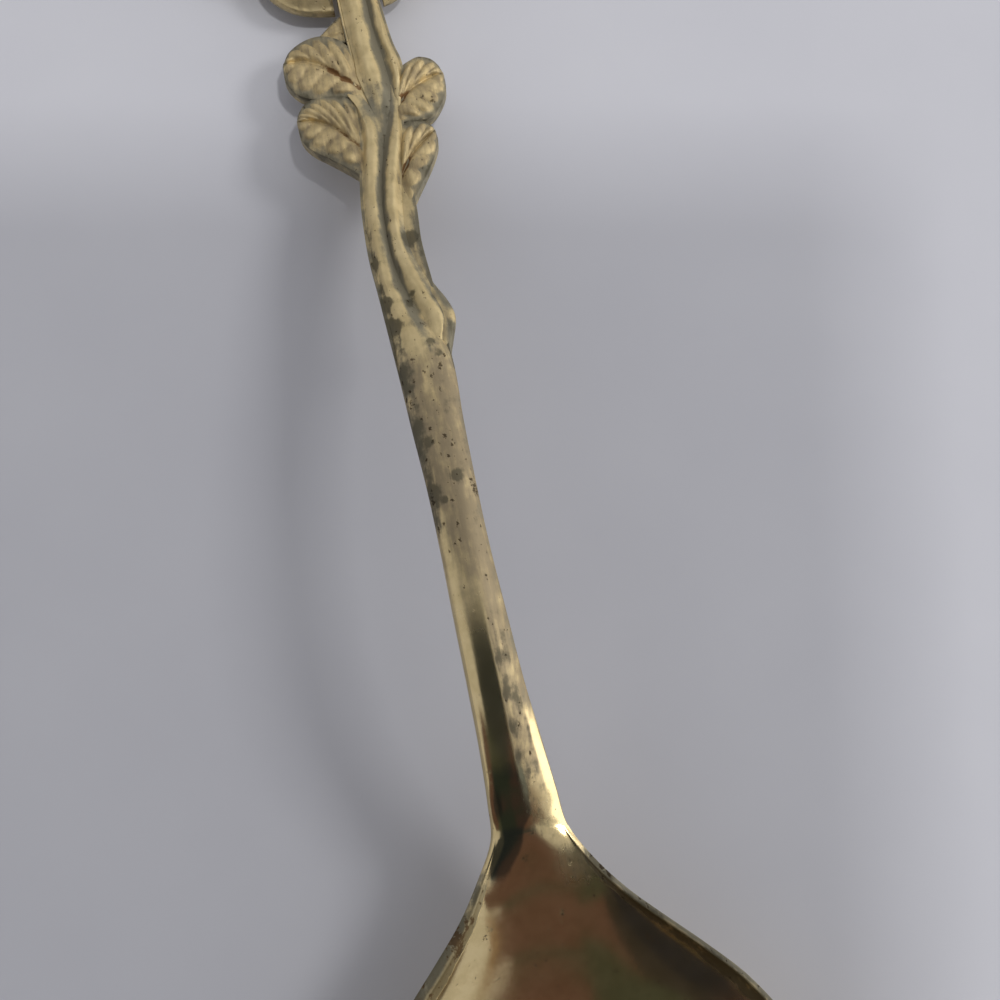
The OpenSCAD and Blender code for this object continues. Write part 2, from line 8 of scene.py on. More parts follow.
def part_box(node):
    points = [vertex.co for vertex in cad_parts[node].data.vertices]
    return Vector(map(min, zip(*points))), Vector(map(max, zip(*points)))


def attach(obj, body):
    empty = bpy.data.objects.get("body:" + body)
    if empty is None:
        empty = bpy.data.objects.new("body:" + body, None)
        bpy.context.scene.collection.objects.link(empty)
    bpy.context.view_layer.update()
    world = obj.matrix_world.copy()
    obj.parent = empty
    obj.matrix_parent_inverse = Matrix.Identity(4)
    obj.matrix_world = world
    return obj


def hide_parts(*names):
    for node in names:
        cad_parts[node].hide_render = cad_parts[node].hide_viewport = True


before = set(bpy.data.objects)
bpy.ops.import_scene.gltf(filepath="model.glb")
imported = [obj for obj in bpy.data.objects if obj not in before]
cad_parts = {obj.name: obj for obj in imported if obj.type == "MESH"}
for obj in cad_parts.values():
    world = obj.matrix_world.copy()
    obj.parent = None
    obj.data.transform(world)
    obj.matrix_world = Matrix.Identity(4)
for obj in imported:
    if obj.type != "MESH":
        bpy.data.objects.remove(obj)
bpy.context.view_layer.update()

# The camera looks down at the handle from just over the table. The neck, where the stem meets the
# bowl, ties the picture to the part: it is seen below and right of the picture's middle, and the
# spoon is turned a little against the picture's sides.
bowl_low, bowl_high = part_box("bowl")
neck = Vector((0.0, bowl_high.y, 0.0))
neck_seen = Vector((0.00156, -0.0211, 0.0))
picture_turn = math.radians(12.0)
to_part = (
    Matrix.Translation(neck)
    @ Matrix.Rotation(-picture_turn, 4, "Z")
    @ Matrix.Translation(-neck_seen)
)
camera_tilt = math.radians(15.0)
camera_distance = 0.135
camera_data = bpy.data.cameras.new("camera")
camera_data.lens = 79.2
camera_data.sensor_width = 36.0
camera_data.clip_start = 0.01
camera = bpy.data.objects.new("camera", camera_data)
bpy.context.scene.collection.objects.link(camera)
camera.matrix_world = (
    to_part
    @ Matrix.Rotation(camera_tilt, 4, "X")
    @ Matrix.Translation((0.0, 0.0, camera_distance))
)
bpy.context.scene.camera = camera

# The table is a sheet of pale grey paper with a faint tooth. It is wide enough to fill
# every view of the spoon, and it holds the soft shadow.
def tone(red, green, blue):
    shares = [c / 255 for c in (red, green, blue)]
    return [((s + 0.055) / 1.055) ** 2.4 for s in shares] + [1.0]


def shown(name, bm, material):
    mesh = bpy.data.meshes.new(name)
    bm.to_mesh(mesh)
    bm.free()
    mesh.materials.append(material)
    piece = bpy.data.objects.new(name, mesh)
    bpy.context.scene.collection.objects.link(piece)
    return piece


def fresh_material(name):
    material = bpy.data.materials.new(name)
    material.use_nodes = True
    nodes = material.node_tree.nodes
    return material, nodes, material.node_tree.links, nodes["Principled BSDF"]


def node(tree, kind, **settings):
    made = tree.nodes.new(kind)
    for key, value in settings.items():
        setattr(made, key, value)
    return made


def grain(tree, vector, scale, detail, rough=0.5):
    made = node(tree, "ShaderNodeTexNoise")
    made.inputs["Scale"].default_value = scale
    made.inputs["Detail"].default_value = detail
    made.inputs["Roughness"].default_value = rough
    tree.links.new(vector, made.inputs["Vector"])
    return made.outputs["Fac"]


def blend(tree, share, first, second):
    made = node(tree, "ShaderNodeMix", data_type="RGBA")
    for socket, source in ((0, share), (6, first), (7, second)):
        if isinstance(source, bpy.types.NodeSocket):
            tree.links.new(source, made.inputs[socket])
        else:
            made.inputs[socket].default_value = source
    return made.outputs[2]


paper, nodes, links, shader = fresh_material("pale_paper")
here = node(paper.node_tree, "ShaderNodeTexCoord").outputs["Object"]
tooth = grain(paper.node_tree, here, 2200.0, 3.0)
clouds = grain(paper.node_tree, here, 90.0, 4.0)
tint = blend(paper.node_tree, clouds, tone(199, 199, 205), tone(207, 207, 212))
links.new(tint, shader.inputs["Base Color"])
paper_bump = node(paper.node_tree, "ShaderNodeBump")
paper_bump.inputs["Strength"].default_value = 0.12
paper_bump.inputs["Distance"].default_value = 0.00003
links.new(tooth, paper_bump.inputs["Height"])
links.new(paper_bump.outputs["Normal"], shader.inputs["Normal"])
shader.inputs["Roughness"].default_value = 0.85
shader.inputs["Specular IOR Level"].default_value = 0.2

bm = bmesh.new()
bmesh.ops.create_grid(bm, x_segments=2, y_segments=2, size=1.6)
table = shown("table", bm, paper)

# The light is a window on the right, about 50 degrees up, an even pale room, and a ceiling
# lamp that the dark cards over the spoon keep off all but the top and right of the table. The
# other cards are what the polished metal mirrors: warm, green and dark things, and a window.
world = bpy.data.worlds.new("room")
bpy.context.scene.world = world
world.use_nodes = True
room = world.node_tree.nodes["Background"]
room.inputs["Color"].default_value = (0.80, 0.80, 0.83, 1.0)
room.inputs["Strength"].default_value = 0.72
bpy.context.scene.view_settings.view_transform = "Standard"


# Both lamps point at the middle of the picture.
def soft_lamp(name, at, size, energy):
    lamp_data = bpy.data.lights.new(name, "AREA")
    lamp_data.shape = "SQUARE"
    lamp_data.size = size
    lamp_data.energy = energy
    lamp = bpy.data.objects.new(name, lamp_data)
    bpy.context.scene.collection.objects.link(lamp)
    turned = Vector(at).to_track_quat("Z", "Y").to_matrix().to_4x4()
    lamp.matrix_world = to_part @ Matrix.Translation(at) @ turned


soft_lamp("window_lamp", (0.50, 0.09, 0.47), size=0.17, energy=1.1)
soft_lamp("ceiling_lamp", (0.227, -0.033, 1.0), size=0.06, energy=2.35)


def card(name, low, high, colour, light=1.0, shades=False):
    low, high = Vector(low), Vector(high)
    material, nodes, links, shader = fresh_material(name)
    nodes.remove(shader)
    # A card shines evenly, so that metal mirrors its colour as it is written.
    glow = nodes.new("ShaderNodeEmission")
    glow.inputs["Color"].default_value = colour
    glow.inputs["Strength"].default_value = light
    links.new(glow.outputs["Emission"], nodes["Material Output"].inputs["Surface"])
    bm = bmesh.new()
    bmesh.ops.create_cube(bm, size=1.0)
    bmesh.ops.scale(bm, vec=high - low, verts=bm.verts)
    bmesh.ops.transform(bm, matrix=to_part @ Matrix.Translation((low + high) / 2), verts=bm.verts)
    flag = shown(name, bm, material)
    flag.visible_camera = False
    flag.visible_diffuse = shades
    flag.visible_shadow = shades
    flag.visible_transmission = False


device_tone = tone(58, 62, 66)
green_tone = tone(72, 77, 70)
warm_tone = tone(98, 77, 74)
card("dark_device", (-0.09, -0.1, 0.128), (0.01, 0.015, 0.13), device_tone, shades=True)
card("dark_corner", (0.01, -0.088, 0.128), (0.05, 0.015, 0.13), device_tone, shades=True)
card("green_left", (-0.115, -0.172, 0.128), (-0.002, -0.1, 0.13), green_tone, shades=True)
card("dark_left", (-0.13, -0.25, 0.128), (-0.06, -0.172, 0.13), tone(60, 57, 58), shades=True)
card("warm_low", (-0.06, -0.25, 0.128), (0.14, -0.172, 0.13), warm_tone)
card("warm_middle", (-0.002, -0.172, 0.128), (0.14, -0.151, 0.13), warm_tone)
card("warm_high", (-0.002, -0.137, 0.128), (0.14, -0.1, 0.13), warm_tone)
card("green_strip", (-0.002, -0.151, 0.128), (0.095, -0.137, 0.13), green_tone)
card("warm_strip", (0.01, -0.1, 0.128), (0.14, -0.088, 0.13), warm_tone)
card("pale_edge", (0.14, -0.25, 0.128), (0.178, -0.151, 0.13), tone(140, 118, 100))
card("warm_front", (-0.1, -0.252, 0.13), (0.19, -0.25, 0.33), warm_tone)
card("dark_front", (-0.2, -0.252, 0.001), (0.0, -0.25, 0.13), tone(46, 46, 54))
card("dark_door", (-0.2, -0.252, 0.13), (-0.1, -0.25, 0.33), tone(50, 50, 54))
card("warm_side", (-0.4, -0.252, 0.001), (-0.2, -0.25, 0.33), tone(92, 74, 72))
card("window_foot", (0.45, -0.2, 0.001), (0.452, 0.25, 0.28), tone(255, 253, 250), light=2.2)

# Gold plating over a grey base metal is the finish of the whole spoon. One node group works
# out where the plate is worn through, where it is tarnished or pitted, where brown dirt sits
# and where a dark reflection is painted, from marks that every piece carries for how far each
# of these has gone at a place.
plating = bpy.data.node_groups.new("worn_plating", "ShaderNodeTree")
for label, kind, value in (
    ("Wear", "Float", 0.0),
    ("Stain", "Float", 0.0),
    ("Grime", "Float", 0.0),
    ("Pitting", "Float", 0.5),
    ("Tarnish", "Float", 0.0),
    # The sixth mark and the sixth colour paint a dark reflection on the polished neck.
    ("Painted_Reflection", "Float", 0.0),
    ("Plate", "Color", tone(212, 190, 142)),
    ("Plate Dark", "Color", tone(190, 168, 118)),
    ("Bare", "Color", tone(148, 142, 123)),
    ("Tarnished", "Color", tone(164, 150, 123)),
    ("Stained", "Color", tone(102, 97, 80)),
    ("Painted Reflection Tone", "Color", tone(138, 136, 112)),
    ("Dirt", "Color", tone(70, 56, 41)),
    ("Rust", "Color", tone(124, 86, 50)),
):
    kind = "NodeSocket" + kind
    plating.interface.new_socket(label, in_out="INPUT", socket_type=kind).default_value = value
for label, kind in (
    ("Color", "Color"),
    ("Worn", "Float"),
    ("Dirty", "Float"),
    ("Height", "Float"),
):
    plating.interface.new_socket(label, in_out="OUTPUT", socket_type="NodeSocket" + kind)


def linked(tree, target, *sources):
    for socket, source in zip(target.inputs, sources):
        if isinstance(source, (int, float)):
            socket.default_value = source
        else:
            tree.links.new(source, socket)
    return target.outputs[0] if target.outputs else None


def sums(tree, operation, *sources):
    return linked(tree, node(tree, "ShaderNodeMath", operation=operation), *sources)


def step(tree, source, low, high):
    made = node(tree, "ShaderNodeMapRange", interpolation_type="SMOOTHSTEP")
    made.inputs["From Min"].default_value = low
    made.inputs["From Max"].default_value = high
    tree.links.new(source, made.inputs["Value"])
    return made.outputs["Result"]


def spread(tree, source, low, high):
    made = node(tree, "ShaderNodeMapRange")
    made.inputs["To Min"].default_value = low
    made.inputs["To Max"].default_value = high
    tree.links.new(source, made.inputs["Value"])
    return made.outputs["Result"]


def stretched(tree, vector, share):
    made = node(tree, "ShaderNodeVectorMath", operation="MULTIPLY")
    made.inputs[1].default_value = (1.0, share, 1.0)
    tree.links.new(vector, made.inputs[0])
    return made.outputs[0]


def around(tree, source, share):
    return sums(tree, "MULTIPLY", sums(tree, "SUBTRACT", source, 0.5), share)


def mottled(tree, mark, *grains):
    for source, share in grains:
        mark = sums(tree, "ADD", mark, around(tree, source, share))
    return mark


def pits(tree, vector, scale, reach, rank_from, rough):
    spots = node(tree, "ShaderNodeTexVoronoi", feature="F1")
    spots.inputs["Scale"].default_value = scale
    tree.links.new(vector, spots.inputs["Vector"])
    rank = node(tree, "ShaderNodeSeparateColor")
    tree.links.new(spots.outputs["Color"], rank.inputs[0])
    size = sums(tree, "MULTIPLY", reach, step(tree, rank.outputs[0], rank_from, 1.0))
    away = sums(tree, "ADD", spots.outputs["Distance"], rough)
    return step(tree, sums(tree, "SUBTRACT", size, away), -0.06, 0.08)


given = node(plating, "NodeGroupInput").outputs
here = node(plating, "ShaderNodeTexCoord").outputs["Object"]
# Scratches and streaks run along the spoon, which is Y, so their pattern is stretched there.
long_way = stretched(plating, here, 0.12)
broad = grain(plating, here, 330.0, 4.0, 0.55)
patch = grain(plating, here, 850.0, 5.0, 0.6)
fine = grain(plating, here, 2100.0, 5.0, 0.65)
streak = grain(plating, long_way, 3200.0, 4.0, 0.55)
worn_sum = mottled(plating, given["Wear"], (broad, 1.1), (patch, 1.2), (streak, 0.7))
worn = step(plating, worn_sum, 0.12, 0.85)
tarnish_sum = mottled(plating, given["Tarnish"], (streak, 1.7), (patch, 1.2))
tarnish = step(plating, tarnish_sum, -0.15, 1.0)
stain = step(plating, mottled(plating, given["Stain"], (streak, 1.2), (patch, 2.2)), 0.2, 0.8)
# Many small pits gather in clusters, and a few large ones stand alone. Their edges are ragged.
small_reach = sums(plating, "SUBTRACT", sums(plating, "MULTIPLY", given["Pitting"], 0.8), 0.2)
small_reach = mottled(plating, small_reach, (broad, 0.9))
large_reach = sums(plating, "SUBTRACT", sums(plating, "MULTIPLY", given["Pitting"], 0.85), 0.26)
edge = around(plating, grain(plating, here, 5200.0, 4.0, 0.7), 1.3)
pit_way = stretched(plating, here, 0.55)
pit = sums(
    plating, "MAXIMUM", pits(plating, pit_way, 3000.0, small_reach, 0.35, edge),
    pits(plating, pit_way, 800.0, large_reach, 0.75, edge),
)
dirty = step(plating, mottled(plating, given["Grime"], (fine, 1.8)), 0.35, 0.9)
dirty = sums(plating, "MAXIMUM", dirty, sums(plating, "MULTIPLY", pit, 0.85))
plate = blend(plating, step(plating, patch, 0.35, 0.65), given["Plate"], given["Plate Dark"])
plate = blend(plating, tarnish, plate, given["Tarnished"])
coated = blend(plating, worn, plate, given["Bare"])
# Stains, a painted dark reflection and brown or rusty dirt lie on top of the plate and the bare
# metal.
coated = blend(plating, sums(plating, "MULTIPLY", stain, 0.75), coated, given["Stained"])
painted_reflection = step(plating, mottled(plating, given["Painted_Reflection"], (patch, 0.5)), 0.2, 0.9)
coated = blend(plating, painted_reflection, coated, given["Painted Reflection Tone"])
soil = blend(plating, step(plating, given["Grime"], 0.1, 0.6), given["Dirt"], given["Rust"])
coated = blend(plating, sums(plating, "MULTIPLY", dirty, 0.85), coated, soil)
relief = sums(plating, "SUBTRACT", sums(plating, "MULTIPLY", fine, 0.4), pit)
relief = sums(plating, "SUBTRACT", relief, sums(plating, "MULTIPLY", worn, 0.3))
relief = sums(plating, "ADD", relief, sums(plating, "MULTIPLY", streak, 0.25))
relief = sums(plating, "SUBTRACT", relief, sums(plating, "MULTIPLY", stain, 0.25))
dull = sums(plating, "MAXIMUM", worn, sums(plating, "MAXIMUM", tarnish, stain))
linked(plating, node(plating, "NodeGroupOutput"), coated, dull, dirty, relief)


def plated(name, plate, plate_dark, smooth_rough, satin_rough, smooth_bump, satin_bump):
    material, nodes, links, shader = fresh_material(name)
    tree = material.node_tree
    coat = node(tree, "ShaderNodeGroup", node_tree=plating)
    coat.inputs["Plate"].default_value = plate
    coat.inputs["Plate Dark"].default_value = plate_dark
    marks = {}
    for label in mark_names:
        marks[label] = node(tree, "ShaderNodeAttribute", attribute_name=label).outputs["Fac"]
        if label.title() in coat.inputs:
            links.new(marks[label], coat.inputs[label.title()])
    links.new(coat.outputs["Color"], shader.inputs["Base Color"])
    here = node(tree, "ShaderNodeTexCoord").outputs["Object"]
    gloss = sums(tree, "MULTIPLY", grain(tree, here, 700.0, 4.0, 0.55), 0.12)
    rough = sums(tree, "ADD", spread(tree, marks["satin"], smooth_rough, satin_rough), gloss)
    rough = sums(tree, "ADD", rough, sums(tree, "MULTIPLY", coat.outputs["Worn"], 0.14))
    crust = sums(tree, "MULTIPLY", coat.outputs["Dirty"], marks["satin"])
    rough = sums(tree, "ADD", rough, sums(tree, "MULTIPLY", crust, 0.3))
    links.new(sums(tree, "MINIMUM", rough, 0.85), shader.inputs["Roughness"])
    shader.inputs["Metallic"].default_value = 1.0
    dents = node(tree, "ShaderNodeBump")
    strength = spread(tree, marks["satin"], smooth_bump, satin_bump)
    links.new(strength, dents.inputs["Strength"])
    dents.inputs["Distance"].default_value = 0.00006
    links.new(coat.outputs["Height"], dents.inputs["Height"])
    links.new(dents.outputs["Normal"], shader.inputs["Normal"])
    return material


# The sixth mark is a painted dark reflection on the neck.
mark_names = ("wear", "stain", "grime", "pitting", "tarnish", "painted_reflection", "satin")
polished_gold = plated(
    "polished_gold", tone(220, 200, 153), tone(209, 189, 141),
    smooth_rough=0.09, satin_rough=0.5, smooth_bump=0.14, satin_bump=0.6,
)
satin_gold = plated(
    "satin_gold", tone(214, 196, 152), tone(201, 183, 139),
    smooth_rough=0.38, satin_rough=0.66, smooth_bump=0.5, satin_bump=0.8,
)

# The bowl and the stem are one run of metal, so they share one plan: half widths to the left
# and right of the middle line, the height of the edge line, and the depths under it. It is
# the plan of the solids, but the dish starts deeper and the dome is flatter on its right.
bowl_l = bowl_high.y - bowl_low.y
bowl_half = bowl_high.x
shank_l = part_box("shank")[1].y - neck.y
stem_l = 2 * shank_l
stem_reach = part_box("stem")[1].y - neck.y
widest_l = 0.52 * bowl_l
front_l = bowl_l - widest_l
heel_l = widest_l / 2
neck_w = 0.00466
neck_h = 0.00665
rim_h = 0.0065
tip_h = 0.0061
arch_h = 0.00995
stalk_h = 0.00245
bowl_wall = 0.00095
rim_w = 0.00065
rim_edge = 0.0005
worn_flat = 0.00012
crown_h = 0.00085
side_h = 0.0008
upper_side_h = 0.0013
belly_h = 0.00065
back_t = 0.001
scoop_d = 0.00035
tip_turn = math.radians(89.7)
shoulder_shares = [
    (1.125, 0.985), (1.0, 1.0), (0.875, 0.985), (0.75, 0.94), (0.54, 0.793), (0.42, 0.68),
    (0.33, 0.556), (0.25, 0.434), (0.17, 0.318), (0.085, 0.222),
]
side_shares = [
    (0.0, 0.46, 0.494), (0.037, 0.406, 0.446), (0.093, 0.374, 0.38), (0.148, 0.365, 0.322),
    (0.222, 0.358, 0.285), (0.296, 0.343, 0.258), (0.37, 0.343, 0.262), (0.444, 0.372, 0.283),
    (0.5, 0.386, 0.316), (0.611, 0.425, 0.29), (0.667, 0.447, 0.268), (0.704, 0.43, 0.3),
    (0.741, 0.39, 0.322), (0.778, 0.32, 0.343), (0.815, 0.236, 0.376), (0.852, 0.225, 0.429),
    (0.889, 0.172, 0.53), (0.917, 0.118, 0.55), (0.944, 0.118, 0.494), (0.981, 0.129, 0.461),
    (1.02, 0.129, 0.44), (1.12, 0.129, 0.44),
]
rise_shares = [(0.056, 0.394), (0.154, 0.879), (0.278, 1.0)]
fall_shares = [
    (0.463, 0.861), (0.667, 0.536), (0.852, 0.199), (0.935, 0.093), (1.019, 0.007), (1.12, 0.0),
]
heel_share = 0.15
crown_shares = [(0.0, 0.88), (0.278, 1.0), (0.5, 0.75)]
keel_shares = [
    (0.0, 1.0), (0.125, 0.887), (0.25, 0.709), (0.417, 0.436), (0.583, 0.229), (0.75, 0.098),
    (0.875, 0.032), (1.0, 0.0),
]


def mix(a, b, u):
    return a + (b - a) * u


def ease(u):
    v = min(max(u, 0.0), 1.0)
    return v * v * (3 - 2 * v)


def peak(x, width):
    return math.exp(-((x / width) ** 2))


# A curve runs smoothly through a table's rows. Its slope at a row is that of the rows beside it.
def slope(table, i, column):
    before, after = table[max(i - 1, 0)], table[min(i + 1, len(table) - 1)]
    return (after[column] - before[column]) / (after[0] - before[0])


def curve(table, x, column=1):
    i = 0
    while i < len(table) - 2 and x >= table[i + 1][0]:
        i += 1
    width = table[i + 1][0] - table[i][0]
    u = min(max((x - table[i][0]) / width, 0.0), 1.0)
    value = (1 + 2 * u) * (1 - u) ** 2 * table[i][column]
    value += u * (1 - u) ** 2 * width * slope(table, i, column)
    value += u * u * (3 - 2 * u) * table[i + 1][column]
    return value + u * u * (u - 1) * width * slope(table, i + 1, column)


side_tables = {
    d: [(-r * widest_l, w * bowl_half) for r, w in shoulder_shares]
    + [(r[0] * stem_l, (r[1] if d < 0 else r[2]) * neck_w) for r in side_shares]
    for d in (-1, 1)
}
edge_table = (
    [(-bowl_l, tip_h), (-widest_l, rim_h), (-heel_share * bowl_l, neck_h), (0.0, neck_h)]
    + [(r * stem_l, mix(neck_h, arch_h, s)) for r, s in rise_shares]
    + [(r * stem_l, mix(stalk_h, arch_h, s)) for r, s in fall_shares]
)
wall_table = [
    (-widest_l, rim_edge), (-heel_l, rim_edge), (0.0, side_h), (stem_l / 3, side_h),
    (0.7 * stem_l, upper_side_h), (stem_l, upper_side_h),
]


# In these functions a is the distance from the neck along the spoon, d is the side, -1 or 1,
# and u is the place across, from -1 at the left edge to 1 at the right one.
def side_w(a, d):
    if -a > widest_l:
        turn = math.asin(min((-a - widest_l) / front_l, 1.0) * math.sin(tip_turn))
        return bowl_half * math.cos(turn)
    return curve(side_tables[-1 if d < 0 else 1], a)


def edge_z(a):
    return curve(edge_table, a)


def wall_h(a):
    return curve(wall_table, a)


def crown(a):
    if a < 0:
        return crown_h * crown_shares[0][1] * (1 - ease(-a / (heel_share * bowl_l)))
    return crown_h * curve(crown_shares, a / stem_l)


def crown_power(a, u):
    return 0.5 + (0.45 * ease((0.02 - a) / 0.01) if u > 0 else 0.0)


def scoop(a):
    return scoop_d * ease((0.001 - a) / 0.0035) * ease((a + 0.014) / 0.008)


def front_round(a, length):
    return max(1 - min((-a - widest_l) / length, 1.0) ** 2, 0.0) ** 0.8


def keel_z(a):
    if -a > widest_l:
        return mix(edge_z(a) - wall_h(a), -worn_flat, front_round(a, front_l))
    return mix(-worn_flat, neck_h - side_h - belly_h, curve(keel_shares, -a / widest_l))


def dish_d(a):
    if a >= 0:
        return 0.0
    if -a > widest_l:
        return (edge_z(a) + worn_flat - bowl_wall) * front_round(a, front_l - rim_w)
    body = mix(side_h + belly_h, bowl_wall, ease(-a / heel_l))
    return max(edge_z(a) - keel_z(a) - body, 0.0)


def belly(a):
    if a < 0:
        return edge_z(a) - wall_h(a) - keel_z(a)
    return belly_h * mix(1.0, 0.7, ease(2 * a / stem_l - 1))


def round_power(a):
    return mix(0.5, 0.85, ease(-a / heel_l))


def face_share(a, d):
    probe = rim_w / 10
    lip_w = rim_w * (0.5 if d > 0 else 0.95)
    if -a > widest_l:
        reach = max(1 - ((-a - widest_l) / (front_l - lip_w)) ** 2, 0.0)
        inner = (bowl_half - lip_w) * math.sqrt(reach)
        return max(inner / side_w(a, 1), 0.3)
    lean = (side_w(a + probe, 1) - side_w(a - probe, 1)) / (2 * probe)
    return max((side_w(a, 1) - lip_w * math.hypot(1, lean)) / side_w(a, 1), 0.86)


def bulge(u, power):
    return max(1 - u * u, 0.0) ** power


def section_x(a, u):
    return u * side_w(a, u)


def top_z(a, u):
    dish = dish_d(a) * bulge(min(abs(u) / face_share(a, u), 1.0), round_power(a))
    return edge_z(a) + crown(a) * bulge(u, crown_power(a, u)) - dish - scoop(a) * bulge(u, 1.0)


def low_z(a, u):
    return edge_z(a) - wall_h(a) - belly(a) * bulge(u, round_power(a))


# The bowl is struck thin and polished bright. Its dish falls steeply from a narrow flat rim,
# the rim is knocked and worn grey, and the underside is worn flat where it rests.
dish_columns = 64
rim_columns = 3
wall_columns = 2
under_columns = 40
seam_gap = 1e-7


# A skin is a grid whose columns run round the piece and whose rows run along it. It is joined
# into a tube, its ends are closed, and its marks go with it.
def skin(name, material, rows, columns, place, marks, round_columns=(), round_r=0.0):
    bm = bmesh.new()
    bmesh.ops.create_grid(bm, x_segments=columns, y_segments=rows, size=0.5)
    layers = [bm.verts.layers.float.new(label) for label in mark_names]
    rounded = bm.edges.layers.int.new("rounded")
    seat = {}
    for v in bm.verts:
        j = round((v.co.x + 0.5) * columns)
        i = round((v.co.y + 0.5) * rows)
        seat[v] = (i, j % columns)
        v.co = place(i, j % columns)
        for layer, value in zip(layers, marks(i, j % columns)):
            v[layer] = value
    for e in bm.edges:
        first, second = (seat[v] for v in e.verts)
        if first[1] == second[1] and first[1] in round_columns:
            e[rounded] = 1
    bmesh.ops.remove_doubles(bm, verts=bm.verts, dist=seam_gap)
    ends = [e for e in bm.edges if e.is_boundary]
    bmesh.ops.holes_fill(bm, edges=ends, sides=0)
    for e in ends:
        e.smooth = False
    bmesh.ops.recalc_face_normals(bm, faces=bm.faces)
    if round_r:
        edges = [e for e in bm.edges if e[rounded] and e.is_valid]
        bmesh.ops.bevel(
            bm, geom=edges, offset=round_r, offset_type="OFFSET", affect="EDGES", segments=3,
            profile=0.5, material=-1, clamp_overlap=True,
        )
    for f in bm.faces:
        f.smooth = True
    piece = shown(name, bm, material)
    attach(piece, "root")
    return piece


# A row close to each end keeps the shading alike where one form runs on into the next.
def rows_between(first, last, spacing):
    count = max(round((last - first) / spacing), 2)
    near = 0.02 * spacing
    inner = [mix(first, last, i / count) for i in range(1, count)]
    return [first, first + near] + inner + [last - near, last]


def ring(a):
    left_share, right_share = face_share(a, -1), face_share(a, 1)
    left_rim = [-mix(1.0, left_share, k / rim_columns) for k in range(rim_columns)]
    right_rim = [mix(1.0, right_share, k / rim_columns) for k in range(rim_columns)]
    dish = [-math.cos(math.pi * k / dish_columns) for k in range(dish_columns + 1)]
    dish = [u * (left_share if u < 0 else right_share) for u in dish]
    top = [(u, 1) for u in left_rim + dish + right_rim[::-1]]
    wall = [k / wall_columns for k in range(1, wall_columns)]
    right = [(1.0, 1 - w) for w in wall]
    under = [(math.cos(math.pi * k / under_columns), 0) for k in range(under_columns + 1)]
    left = [(-1.0, w) for w in wall]
    return top + right + under + left


def ring_point(a, u, level):
    if abs(u) == 1.0:
        z = edge_z(a) - (1 - level) * wall_h(a)
    else:
        z = top_z(a, u) if level else low_z(a, u)
    return Vector((section_x(a, u), neck.y + a, max(z, 0.0 if a < 0 else back_t)))


def on_ring(rows, i, j):
    return (rows[i], *ring(rows[i])[j])


ring_size = len(ring(0.0))
top_size = 2 * rim_columns + dish_columns + 1
ring_corners = (0, top_size - 1, top_size - 1 + wall_columns, ring_size - wall_columns + 1)
front_rows = 56
bowl_rows = [
    -widest_l - front_l * math.sin(tip_turn * (1 - i / front_rows)) / math.sin(tip_turn)
    for i in range(front_rows)
]
back_rows = rows_between(-widest_l, 0.0, 0.0004)
bowl_rows += back_rows[0:1] + back_rows[2:]


def bowl_place(i, j):
    return ring_point(*on_ring(bowl_rows, i, j))


mm = 0.001
# Dark blots on the stem: how far each is from the neck, its place across and its radius.
blots_mm = [
    (20.2, 0.2, 0.32), (19.6, -1.4, 0.35), (18.9, -0.7, 0.2), (29.0, 0.4, 0.26),
    (32.5, 0.0, 0.28), (31.9, -0.25, 0.26), (36.5, 0.55, 0.4), (35.0, -1.8, 0.35),
    (32.2, -1.5, 0.4), (30.5, -1.3, 0.4), (28.1, 0.8, 0.22), (22.6, -0.9, 0.3),
]


def blot(spots, a, x):
    return sum(peak(math.dist((a / mm, x / mm), (b, c)), r) for b, c, r in spots)


# A painted dark reflection lies in the middle of the neck and narrows as it runs down into the
# bowl: dark colour that stands in for the dark things overhead that the polished metal mirrors.
def neck_painted_reflection(a, u):
    x = section_x(a, u)
    below = ease(-a / 0.0026)
    right = mix(0.00065 - 0.0007 * ease((0.0012 - a) / 0.0012), -0.0013, below)
    left = mix(-0.0016, -0.003, below)
    across = ease((x - left) / 0.0004) * ease((right - x) / mix(0.0004, 0.0008, below))
    return across * ease((0.0047 - a) / 0.0022) * ease((a + 0.0031) / 0.0016)


# The stem is polished at the neck and dull and mottled further up. A polished strip runs up
# its left side, a bright crest runs across the mottling, and streaks stain its right side.
def stem_marks(a, u, level):
    left = ease((-u - 0.4) / 0.35)
    inner = ease((u + 0.05) / 0.2)
    outer = ease((u - 0.66) / 0.12)
    dull = mix(ease((a - 0.008) / 0.009), ease((a + 0.0005) / 0.005), inner)
    dull = mix(dull, ease((a - 0.0045) / 0.003), outer)
    mottle = ease((a - 0.0155) / 0.004) * ease((0.036 - a) / 0.005)
    flank = ease((abs(u) - 0.55) / 0.4)
    strip = left * ease((0.0195 - a) / 0.003)
    crest = ease(1 - abs(u + 0.15 - 18 * (0.027 - a)) / 0.42) * ease((a - 0.0225) / 0.003)
    wear = -0.2 + 0.5 * flank * dull * (1 - strip) + 0.15 * left * mottle + 0.1 * mottle
    wear -= 0.3 * crest + 0.2 * (1 - dull)
    if not level:
        wear += 0.25 * dull
    tarnish = (0.2 + 0.6 * dull + 0.1 * mottle) * (1 - 0.8 * strip) * ease((0.041 - a) / 0.012)
    tarnish -= 0.4 * crest + 0.6 * (1 - dull)
    stain = -0.15 + 0.28 * mottle * (1 - crest) - 0.25 * (1 - dull)
    stain += 0.48 * mottle * ease((-u - 0.5) / 0.3) * (1 - crest)
    stain += 0.6 * inner * (1 - outer) * ease((0.014 - a) / 0.005)
    stain += 1.4 * blot(blots_mm, a, section_x(a, u)) * level
    grime = -0.4 + 0.48 * mottle * (1 - crest) + 0.15 * strip
    pitting = 0.25 + 0.26 * mottle * (1 - 0.6 * crest) + 0.06 * dull
    # The painted dark reflection on the top of the neck.
    painted_reflection = neck_painted_reflection(a, u) * level
    return (wear, stain, grime, pitting, tarnish, painted_reflection, dull * (1 - 0.35 * strip))


def mix_marks(first, second, u):
    return tuple(mix(a, b, u) for a, b in zip(first, second))


